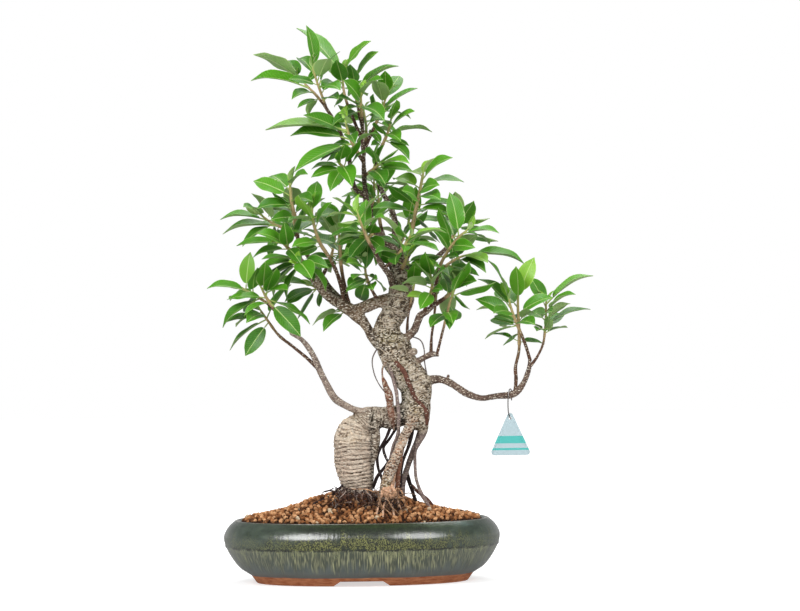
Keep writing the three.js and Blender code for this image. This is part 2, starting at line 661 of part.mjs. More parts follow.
// Keeps the main body of a solid that a cut or a join has left with loose scraps
function mainBody(solid) {
  const bodies = solid.asOriginal().simplify(SMALLEST_STEP).decompose();
  bodies.sort((one, other) => other.volume() - one.volume());
  return bodies[0];
}

function toGeometry(solid) {
  const mesh = solid.getMesh();
  const geometry = new THREE.BufferGeometry();
  geometry.setAttribute('position', new THREE.BufferAttribute(Float32Array.from(mesh.vertProperties), 3));
  geometry.setIndex(Array.from(mesh.triVerts));
  geometry.computeVertexNormals();
  return geometry;
}

function namedMesh(name, solid, finish) {
  const mesh = new THREE.Mesh(toGeometry(solid), new THREE.MeshStandardMaterial(finish));
  mesh.name = name;
  return mesh;
}

function ovalRing(inset, height) {
  const ring = [];
  for (let i = 0; i < POT_SIDES; i++) {
    const turn = (2 * Math.PI * i) / POT_SIDES;
    const [cos, sin] = [Math.cos(turn), Math.sin(turn)];
    const x = (POT_LENGTH / 2 - inset) * Math.sign(cos) * Math.abs(cos) ** (2 / OVAL_POWER);
    const y = (POT_DEPTH / 2 - inset) * Math.sign(sin) * Math.abs(sin) ** (2 / OVAL_POWER);
    ring.push(new THREE.Vector3(x, y, height));
  }
  return ring;
}

function box(width, depth, height, x, y, z) {
  return toSolid(new THREE.BoxGeometry(width, depth, height).translate(x, y, z));
}

function makePot() {
  const rings = POT_PROFILE.map(([inset, height]) => ovalRing(inset, height));
  const shell = toSolid(cappedLoft(rings));
  const cuts = [];
  for (const side of [-1, 1]) {
    const { width, height, reach } = FOOT_NOTCH;
    const footFace = side * (POT_DEPTH / 2 - POT_PROFILE[3][0]);
    cuts.push(box(width, reach, 2 * height, 0, footFace, 0));
    const { across, sides, offset } = DRAIN_HOLE;
    const hole = new THREE.CylinderGeometry(across / 2, across / 2, 4 * FLOOR_TOP, sides);
    cuts.push(toSolid(hole.rotateX(Math.PI / 2).translate(side * offset, 0, 0)));
  }
  return mainBody(shell.subtract(joined(cuts)));
}

// A square screen of crossed bars, lying on the floor over a drainage hole
function makeDrainMesh(side) {
  const { size, thick, bars, bar } = DRAIN_MESH;
  const solids = [];
  const pitch = (size - bar) / (bars - 1);
  const z = FLOOR_TOP + GAP + thick / 2;
  for (let i = 0; i < bars; i++) {
    const offset = i * pitch - (size - bar) / 2;
    solids.push(box(bar, size, thick, side * DRAIN_HOLE.offset + offset, 0, z));
    solids.push(box(size, bar, thick, side * DRAIN_HOLE.offset, offset, z));
  }
  return mainBody(joined(solids));
}

function slopeAt(share) {
  let i = 1;
  while (share > MOUND_SLOPE[i][0]) {
    i++;
  }
  const [[from, low], [to, high]] = [MOUND_SLOPE[i - 1], MOUND_SLOPE[i]];
  return low + ((high - low) * (share - from)) / (to - from);
}

function makeSoil(rootHoles) {
  const draw = seededDraws(GRAIN_SEED);
  const rings = SOIL_PROFILE.map(([inset, height]) => ovalRing(inset, height));
  const edge = rings[rings.length - 1];
  const top = new THREE.Vector3(MOUND.x, MOUND.y, SOIL_EDGE + MOUND.rise);
  for (const share of SOIL_RINGS) {
    const lift = MOUND.rise * slopeAt(share);
    rings.push(edge.map((point) => {
      const relief = GRAIN_RELIEF * (2 * draw() - 1);
      return new THREE.Vector3(
        THREE.MathUtils.lerp(MOUND.x, point.x, share),
        THREE.MathUtils.lerp(MOUND.y, point.y, share),
        SOIL_EDGE + lift + relief,
      );
    }));
  }
  const bed = toSolid(loft([[centreOf(rings[0])], ...rings, [top]]));
  const meshPockets = [-1, 1].map((side) => {
    const { size, thick } = DRAIN_MESH;
    const height = 2 * (thick + 2 * GAP);
    return box(size + 2 * GAP, size + 2 * GAP, height, side * DRAIN_HOLE.offset, 0, FLOOR_TOP + GAP);
  });
  return mainBody(bed.subtract(joined([...rootHoles, ...meshPockets])));
}

// A route through plan points, read at shares from 0 to 1 of its control points
class Route {
  constructor(rows) {
    const points = rows.map(([x, y, depth]) => atPlan(x, y, depth));
    this.curve = new THREE.CatmullRomCurve3(points, false, 'catmullrom', 0.5);
    this.radii = rows.map((row) => row[3] * PLAN_STEP);
  }

  at(share) {
    return this.curve.getPoint(share);
  }

  radius(share) {
    const place = share * (this.radii.length - 1);
    const i = Math.min(Math.floor(place), this.radii.length - 2);
    return THREE.MathUtils.lerp(this.radii[i], this.radii[i + 1], place - i);
  }

  direction(share) {
    return this.curve.getTangent(share);
  }

  // Rings square to the route, carried along it without twist
  rings(shares, sides, grow = 0) {
    let across = null;
    return shares.map((share) => {
      const centre = this.at(share);
      const along = this.direction(share);
      if (across === null) {
        const reference = Math.abs(along.z) < 0.8 ? new THREE.Vector3(0, 0, 1) : new THREE.Vector3(0, 1, 0);
        across = new THREE.Vector3().crossVectors(along, reference).normalize();
      } else {
        across = across.clone().addScaledVector(along, -across.dot(along)).normalize();
      }
      const other = new THREE.Vector3().crossVectors(along, across);
      const radius = this.radius(share) + grow;
      const ring = [];
      for (let i = 0; i < sides; i++) {
        const turn = (2 * Math.PI * i) / sides;
        ring.push(centre.clone()
          .addScaledVector(across, radius * Math.cos(turn))
          .addScaledVector(other, radius * Math.sin(turn)));
      }
      return ring;
    });
  }
}

function sharesBetween(from, to, steps) {
  return Array.from({ length: steps + 1 }, (_, i) => from + ((to - from) * i) / steps);
}

function sidesFor(rows) {
  const thickest = Math.max(...rows.map((row) => row[3]));
  if (thickest > THICKER_THAN.trunk) {
    return TRUNK_SIDES;
  }
  if (thickest > THICKER_THAN.limb) {
    return LIMB_SIDES;
  }
  return thickest > THICKER_THAN.twig ? TWIG_SIDES : THREAD_SIDES;
}

// Test bodies tell whether a new leaf would touch what is already there
function testBody(rings, owner, kind) {
  const points = rings.flat();
  const edges = [];
  const triangles = [];
  for (let i = 0; i < rings.length; i++) {
    const ring = rings[i];
    for (let k = 0; k < ring.length && ring.length > 1; k++) {
      edges.push([ring[k], ring[(k + 1) % ring.length]]);
    }
    if (i + 1 === rings.length) {
      continue;
    }
    const next = rings[i + 1];
    for (let k = 0; k < Math.max(ring.length, next.length); k++) {
      const [a, b] = [ring[k % ring.length], ring[(k + 1) % ring.length]];
      const [c, d] = [next[k % next.length], next[(k + 1) % next.length]];
      edges.push([a, c]);
      if (ring.length > 1) {
        triangles.push([a, b, c]);
      }
      if (next.length > 1) {
        triangles.push([b, d, c]);
      }
    }
  }
  const centre = centreOf(points);
  const reach = Math.max(...points.map((point) => point.distanceTo(centre)));
  return { edges, triangles, centre, reach, owner, kind };
}

function crosses(edge, triangle) {
  const [a, b, c] = triangle;
  const along = new THREE.Vector3().subVectors(edge[1], edge[0]);
  const one = new THREE.Vector3().subVectors(b, a);
  const two = new THREE.Vector3().subVectors(c, a);
  const p = new THREE.Vector3().crossVectors(along, two);
  const scale = one.dot(p);
  if (Math.abs(scale) < 1e-9) {
    return false;
  }
  const s = new THREE.Vector3().subVectors(edge[0], a);
  const u = s.dot(p) / scale;
  const q = s.cross(one);
  const v = along.dot(q) / scale;
  const t = two.dot(q) / scale;
  return u >= 0 && v >= 0 && u + v <= 1 && t >= 0 && t <= 1;
}

function touching(one, other) {
  if (one.centre.distanceTo(other.centre) > one.reach + other.reach) {
    return false;
  }
  return one.edges.some((edge) => other.triangles.some((triangle) => crosses(edge, triangle)))
    || other.edges.some((edge) => one.triangles.some((triangle) => crosses(edge, triangle)));
}

// Parts of one shoot may grow into each other, except that its blades keep clear of one another
function blocked(bodies, placed) {
  return bodies.some((body) => placed.some((other) => {
    const fused = body.owner === other.owner && !(body.kind === 'blade' && other.kind === 'blade');
    return !fused && touching(body, other);
  }));
}

// Share of a blade's full width at a share of its length: widest past the middle, with a drawn-out tip
function bladeShape(share) {
  return Math.sin(Math.PI * share ** BLADE_CURVE.forward) ** BLADE_CURVE.fullness;
}

// A leaf from its start inside the stem to its tip, arched away from `upper`, the way its glossy side faces
function leafRings(start, tip, upper, grow = 0) {
  const line = new THREE.Vector3().subVectors(tip, start);
  const length = line.length();
  const forward = line.clone().normalize();
  const normal = upper.clone().addScaledVector(forward, -upper.dot(forward)).normalize();
  const side = new THREE.Vector3().crossVectors(forward, normal);
  const bend = new THREE.Vector3().addVectors(start, tip).multiplyScalar(0.5);
  bend.addScaledVector(normal, LEAF.lift * length);
  const rib = new THREE.QuadraticBezierCurve3(start, bend, tip);
  const section = (share, halfWidth, halfThick, fold) => {
    const centre = rib.getPoint(share);
    const up = new THREE.Vector3().crossVectors(side, rib.getTangent(share)).normalize();
    const raised = centre.clone().addScaledVector(up, fold * halfWidth);
    return [
      raised.clone().addScaledVector(side, -halfWidth),
      raised.clone().addScaledVector(side, halfWidth),
      centre.clone().addScaledVector(up, -halfThick),
    ];
  };
  const petiole = PETIOLE_RADIUS + grow / 2;
  const rings = [section(0, petiole, petiole, 0), section(LEAF.petiole, petiole, petiole, 0)];
  for (const station of BLADE_STATIONS) {
    const share = LEAF.petiole + (1 - LEAF.petiole) * station;
    const halfWidth = (LEAF.ratio * length * bladeShape(station)) / 2 + grow;
    rings.push(section(share, halfWidth, LEAF.thick / 2 + grow, LEAF.fold));
  }
  rings.push([tip.clone().addScaledVector(forward, grow)]);
  return rings;
}

function squareTo(vector, forward) {
  const square = vector.clone().addScaledVector(forward, -vector.dot(forward));
  return square.length() < 0.05 ? new THREE.Vector3(1, 0, 0) : square.normalize();
}

// Tries for a leaf whose tip and width are seen on the plan: its depth is what the plan leaves open
function seenLeafTry(route, share, [x, y, width], attempt, draw) {
  const start = route.at(share);
  const flat = atPlan(x, y, start.y);
  const seen = flat.distanceTo(start);
  const natural = LEAF.length * (SEEN_LEAF.least + SEEN_LEAF.spread * draw());
  const turned = Math.sqrt(Math.max(natural * natural - seen * seen, SEEN_LEAF.leastDepth ** 2));
  const way = (attempt % 2 === 0 ? 1 : -1) * (draw() < SEEN_LEAF.frontShare ? -1 : 1);
  const strayed = turned + SEEN_LEAF.step * Math.floor(attempt / 2);
  const depth = way * strayed * (attempt > SEEN_LEAF.fullTries ? SEEN_LEAF.lateDepth : 1);
  const tip = atPlan(x, y, start.y + depth);
  const length = tip.distanceTo(start);
  const forward = new THREE.Vector3().subVectors(tip, start).normalize();
  const shown = (Math.abs(width) * PLAN_STEP) / (LEAF.ratio * length);
  const face = THREE.MathUtils.clamp(shown, SEEN_LEAF.leastFace, SEEN_LEAF.mostFace);
  const upper = squareTo(UP, forward).multiplyScalar(Math.sqrt(1 - face * face))
    .addScaledVector(squareTo(TO_FRONT, forward), Math.sign(width) * face);
  return { start, tip, upper };
}

// Tries for a leaf that stands round the shoot by its turn in the spiral
function spiralLeafTry(route, share, turn, attempt, draw) {
  const start = route.at(share);
  const along = route.direction(share);
  const across = squareTo(Math.abs(along.z) < 0.8 ? UP : TO_FRONT, along);
  const other = new THREE.Vector3().crossVectors(along, across);
  const angle = turn + (draw() - 0.5) * SPIRAL_LEAF.turnSpread * (1 + attempt);
  const lean = SPIRAL_LEAF.leastLean + SPIRAL_LEAF.leanSpread * draw();
  const outward = across.multiplyScalar(Math.cos(angle)).addScaledVector(other, Math.sin(angle));
  const forward = along.clone().multiplyScalar(Math.cos(lean)).addScaledVector(outward, Math.sin(lean));
  forward.z -= SPIRAL_LEAF.droop;
  forward.normalize();
  const natural = LEAF.length * (SPIRAL_LEAF.least + SPIRAL_LEAF.spread * draw());
  const length = natural * (1 - SPIRAL_LEAF.shrink * attempt);
  const tip = start.clone().addScaledVector(forward, length);
  const square = squareTo(UP, forward);
  const roll = SPIRAL_LEAF.roll * (draw() - 0.5);
  const upper = square.clone().multiplyScalar(Math.cos(roll))
    .addScaledVector(new THREE.Vector3().crossVectors(forward, square), Math.sin(roll));
  return { start, tip, upper };
}

function growLeaves(name, shoot, route, greenFrom, seed, placed) {
  const draw = seededDraws(seed);
  const leaves = [];
  const total = shoot.leaves.length + shoot.more;
  for (let i = 0; i < total; i++) {
    const seen = i < shoot.leaves.length;
    const place = seen ? (i + 0.6) / shoot.leaves.length : (i - shoot.leaves.length + 0.35) / shoot.more;
    const along = LEAF_SPAN.from + (1 - LEAF_SPAN.from) * Math.min(place, 1);
    const share = greenFrom + (LEAF_SPAN.to - greenFrom) * along;
    for (let attempt = 0; attempt < LEAF_TRIES; attempt++) {
      const { start, tip, upper } = seen
        ? seenLeafTry(route, share, shoot.leaves[i], attempt, draw)
        : spiralLeafTry(route, share, (i + 1) * GOLDEN_ANGLE, attempt, draw);
      const wide = leafRings(start, tip, upper, LEAF_SPARE);
      const bodies = [testBody(wide.slice(0, 2), name, 'petiole'), testBody(wide.slice(1), name, 'blade')];
      if (!blocked(bodies, placed)) {
        placed.push(...bodies);
        leaves.push(leafRings(start, tip, upper));
        break;
      }
    }
  }
  return leaves;
}

function makeTree() {
  const wood = [];
  const rootHoles = [];
  const placed = [];
  for (const [name, rows] of Object.entries(LIMBS)) {
    const route = new Route(rows);
    const sides = sidesFor(rows);
    const shares = sharesBetween(0, 1, rows.length - 1);
    wood.push(toSolid(cappedLoft(route.rings(shares, sides))));
    const wide = route.rings(shares, sides, LEAF_SPARE);
    for (let i = 0; i + 1 < wide.length; i++) {
      placed.push(testBody([wide[i], wide[i + 1]], 'wood', 'wood'));
    }
    if (name === 'stump' || name.startsWith('root')) {
      const holeRings = route.rings(shares, sides, ROOT_CLEARANCE);
      const end = holeRings[holeRings.length - 1];
      const beyond = route.direction(1).multiplyScalar(ROOT_CLEARANCE);
      holeRings.push(end.map((point) => point.clone().add(beyond)));
      rootHoles.push(toSolid(cappedLoft(holeRings)));
    }
  }

  const shoots = Object.entries(SHOOTS).map(([name, shoot], i) => {
    const route = new Route(shoot.route);
    const length = route.curve.getLength();
    const spans = shoot.route.length - 1;
    const woodSteps = Math.max(1, Math.round(spans * shoot.woody));
    const woodShares = sharesBetween(0, shoot.woody, woodSteps);
    wood.push(toSolid(cappedLoft(route.rings(woodShares, STEM_SIDES))));
    const greenFrom = shoot.woody + GAP / length;
    const greenShares = sharesBetween(greenFrom, 1, Math.max(2, spans - woodSteps + 1));
    for (const [shares, owner] of [[woodShares, 'wood'], [greenShares, name]]) {
      const wide = route.rings(shares, TWIG_SIDES, LEAF_SPARE);
      for (let k = 0; k + 1 < wide.length; k++) {
        placed.push(testBody([wide[k], wide[k + 1]], owner, 'stem'));
      }
    }
    const seed = LEAF_SEED.first + LEAF_SEED.step * i;
    return { name, shoot, route, greenFrom, greenShares, seed };
  });

  const sprays = shoots.map(({ name, shoot, route, greenFrom, greenShares, seed }) => {
    const stem = toSolid(cappedLoft(route.rings(greenShares, STEM_SIDES)));
    const leaves = growLeaves(name, shoot, route, greenFrom, seed, placed);
    const solids = leaves.map((rings) => toSolid(loft([[centreOf(rings[0])], ...rings])));
    return namedMesh(`spray_${name}`, mainBody(joined([stem, ...solids])), LEAF_GREEN);
  });
  return { wood: mainBody(joined(wood)), rootHoles, sprays };
}

// The tag's outline: a triangle with rounded corners, point up, in the plane of the tag
function tagShape() {
  const { width, height, corner, hole, holeDrop } = TAG;
  const corners = [
    new THREE.Vector2(0, 0),
    new THREE.Vector2(width / 2, -height),
    new THREE.Vector2(-width / 2, -height),
  ];
  const outline = [];
  for (let i = 0; i < 3; i++) {
    const here = corners[i];
    const before = corners[(i + 2) % 3].clone().sub(here).normalize();
    const after = corners[(i + 1) % 3].clone().sub(here).normalize();
    const halfAngle = Math.acos(before.dot(after)) / 2;
    const inward = before.clone().add(after).normalize();
    const centre = here.clone().addScaledVector(inward, corner / Math.sin(halfAngle));
    const start = here.clone().addScaledVector(before, corner / Math.tan(halfAngle)).sub(centre).angle();
    const sweep = Math.PI - 2 * halfAngle;
    for (let k = 0; k <= CORNER_PARTS; k++) {
      const turn = start - (sweep * k) / CORNER_PARTS;
      const way = new THREE.Vector2(Math.cos(turn), Math.sin(turn));
      outline.push(centre.clone().addScaledVector(way, corner));
    }
  }
  const holePoints = Array.from({ length: HOLE_SIDES }, (_, i) => {
    const turn = (2 * Math.PI * i) / HOLE_SIDES;
    return new THREE.Vector2(hole / 2 * Math.cos(turn), hole / 2 * Math.sin(turn) - holeDrop);
  });
  const shape = new THREE.Shape(outline);
  shape.holes.push(new THREE.Path(holePoints));
  return shape;
}

function makeTag() {
  const plate = new THREE.ExtrudeGeometry(tagShape(), { depth: TAG.thick, bevelEnabled: false });
  const top = atPlan(TAG_TOP[0], TAG_TOP[1], TAG_DEPTH);
  plate.rotateX(Math.PI / 2).translate(top.x, TAG_DEPTH + TAG.thick / 2, top.z);
  return toSolid(plate);
}

function makeWire() {
  const route = new Route(WIRE_ROUTE);
  const shares = sharesBetween(0, 1, WIRE_ROUTE.length - 1);
  return toSolid(cappedLoft(route.rings(shares, TWIG_SIDES)));
}

const { wood, rootHoles, sprays } = makeTree();
const bonsai = new THREE.Group();
bonsai.add(
  namedMesh('pot', makePot(), POT_GREEN),
  namedMesh('soil', makeSoil(rootHoles), SOIL_BROWN),
  namedMesh('drain_mesh_left', makeDrainMesh(-1), MESH_BLACK),
  namedMesh('drain_mesh_right', makeDrainMesh(1), MESH_BLACK),
  namedMesh('tree_wood', wood, BARK),
  ...sprays,
  namedMesh('tag', makeTag(), TAG_GREY),
  namedMesh('tag_hook', makeWire(), WIRE_GREY),
);

// The origin is under the middle of the whole outline, on the surface that the pot stands on
const middle = new THREE.Box3().setFromObject(bonsai).getCenter(new THREE.Vector3());
bonsai.position.set(-middle.x, -middle.y, 0);

export default bonsai;
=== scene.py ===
import contextlib
import itertools
import json
import math

import bmesh
import bpy
import numpy as np
from mathutils import Matrix, Vector
from mathutils.kdtree import KDTree

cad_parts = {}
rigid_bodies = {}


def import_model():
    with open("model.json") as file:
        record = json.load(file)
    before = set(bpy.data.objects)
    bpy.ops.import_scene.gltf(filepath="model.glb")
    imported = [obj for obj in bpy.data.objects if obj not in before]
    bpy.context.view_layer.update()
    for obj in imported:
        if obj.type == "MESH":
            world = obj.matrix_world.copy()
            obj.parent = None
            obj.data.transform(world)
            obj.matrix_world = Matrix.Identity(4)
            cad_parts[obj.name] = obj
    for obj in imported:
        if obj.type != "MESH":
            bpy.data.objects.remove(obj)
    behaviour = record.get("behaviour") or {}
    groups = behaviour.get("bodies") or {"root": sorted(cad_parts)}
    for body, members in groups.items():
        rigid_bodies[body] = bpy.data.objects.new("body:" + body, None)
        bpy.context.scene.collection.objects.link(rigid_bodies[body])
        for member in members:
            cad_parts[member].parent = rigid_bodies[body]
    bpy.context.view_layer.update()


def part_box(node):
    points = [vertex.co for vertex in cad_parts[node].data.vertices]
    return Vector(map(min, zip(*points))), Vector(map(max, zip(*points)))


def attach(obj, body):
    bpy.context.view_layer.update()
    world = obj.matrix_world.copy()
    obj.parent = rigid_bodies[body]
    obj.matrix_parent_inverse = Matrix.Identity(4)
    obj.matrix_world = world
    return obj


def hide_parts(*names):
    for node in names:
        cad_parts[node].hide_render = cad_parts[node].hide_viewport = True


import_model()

# A chinese banyan bonsai in its oval glazed pot. Shapes are worked out in millimetres round the middle
# of the pot, as its maker would measure them, and then set in the frame in metres.
MM = 0.001
pot_low, pot_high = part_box("pot")
POT_MIDDLE = np.array([(pot_low.x + pot_high.x) / 2, (pot_low.y + pot_high.y) / 2, 0.0])

# Sizes of the pot and its soil
POT_LENGTH = 306
POT_DEPTH = 236
POT_SIDES = 176
OVAL_POWER = 2.2
FOOT_NOTCH = {"low_width": 60, "high_width": 44, "height": 6, "reach": 38, "face": 89}
DRAIN_HOLE = {"across": 18, "sides": 32, "offset": 66}
FLOOR_TOP = 14
GLAZE_RIDGE = 40.5
SOIL_EDGE = 66.5
MOUND = {"x": -6, "y": 4, "rise": 31}
MOUND_SLOPE = [
    (0, 1), (0.18, 0.98), (0.35, 0.84), (0.5, 0.56), (0.65, 0.38), (0.82, 0.24), (0.92, 0.16), (0.98, 0.1),
    (1, 0),
]
FOOT_PROFILE = [(46, 4), (46, 0.4), (45.6, 0), (36, 0), (35.4, 0.5), (29.8, 8.4)]
WALL_PROFILE = [
    (28.4, 9.2), (17.3, 16.7), (8.6, 27.9), (1.9, GLAZE_RIDGE), (0, 51.5), (4.6, 61.2), (11.2, 67.5),
    (14.2, 69), (17.2, 67.6), (18, 64), (10, 53), (9, 42), (18, 24), (33, FLOOR_TOP),
]
SOIL_PROFILE = [(33.7, FLOOR_TOP + 0.3), (18.6, 24.3), (9.5, 42), (10.5, 53), (18.5, 63.9), (18, SOIL_EDGE)]

# Sizes of the leaves in millimetres, or as shares of a leaf's length from its start in the stem to its tip
LEAF_LENGTH = 47
LEAF_RATIO = 0.4
PETIOLE_SHARE = 0.17
LEAF_LIFT = 0.13
LEAF_FOLD = 0.1
BLADE_STATIONS = [0.16, 0.48, 0.8]
LEAF_THICK = 1.1
PETIOLE_RADIUS = 0.8
LEAF_SPARE = 0.55
LEAF_TRIES = 24
GOLDEN_ANGLE = math.pi * (3 - math.sqrt(5))
GAP = 0.3

# The tree is laid out on a front-view plan: x to the right and y down, in steps of PLAN_STEP, with a
# depth in millimetres behind the pot's middle. The plan is drawn as seen from PLAN_EYE in front.
PLAN_STEP = 1.11
PLAN_MIDDLE = (400, 305.5)
PLAN_SIZE = (800, 611)
PLAN_TILT = math.radians(0.8)
PLAN_EYE = {"x": 45.8, "z": 304.5, "away": 4000}

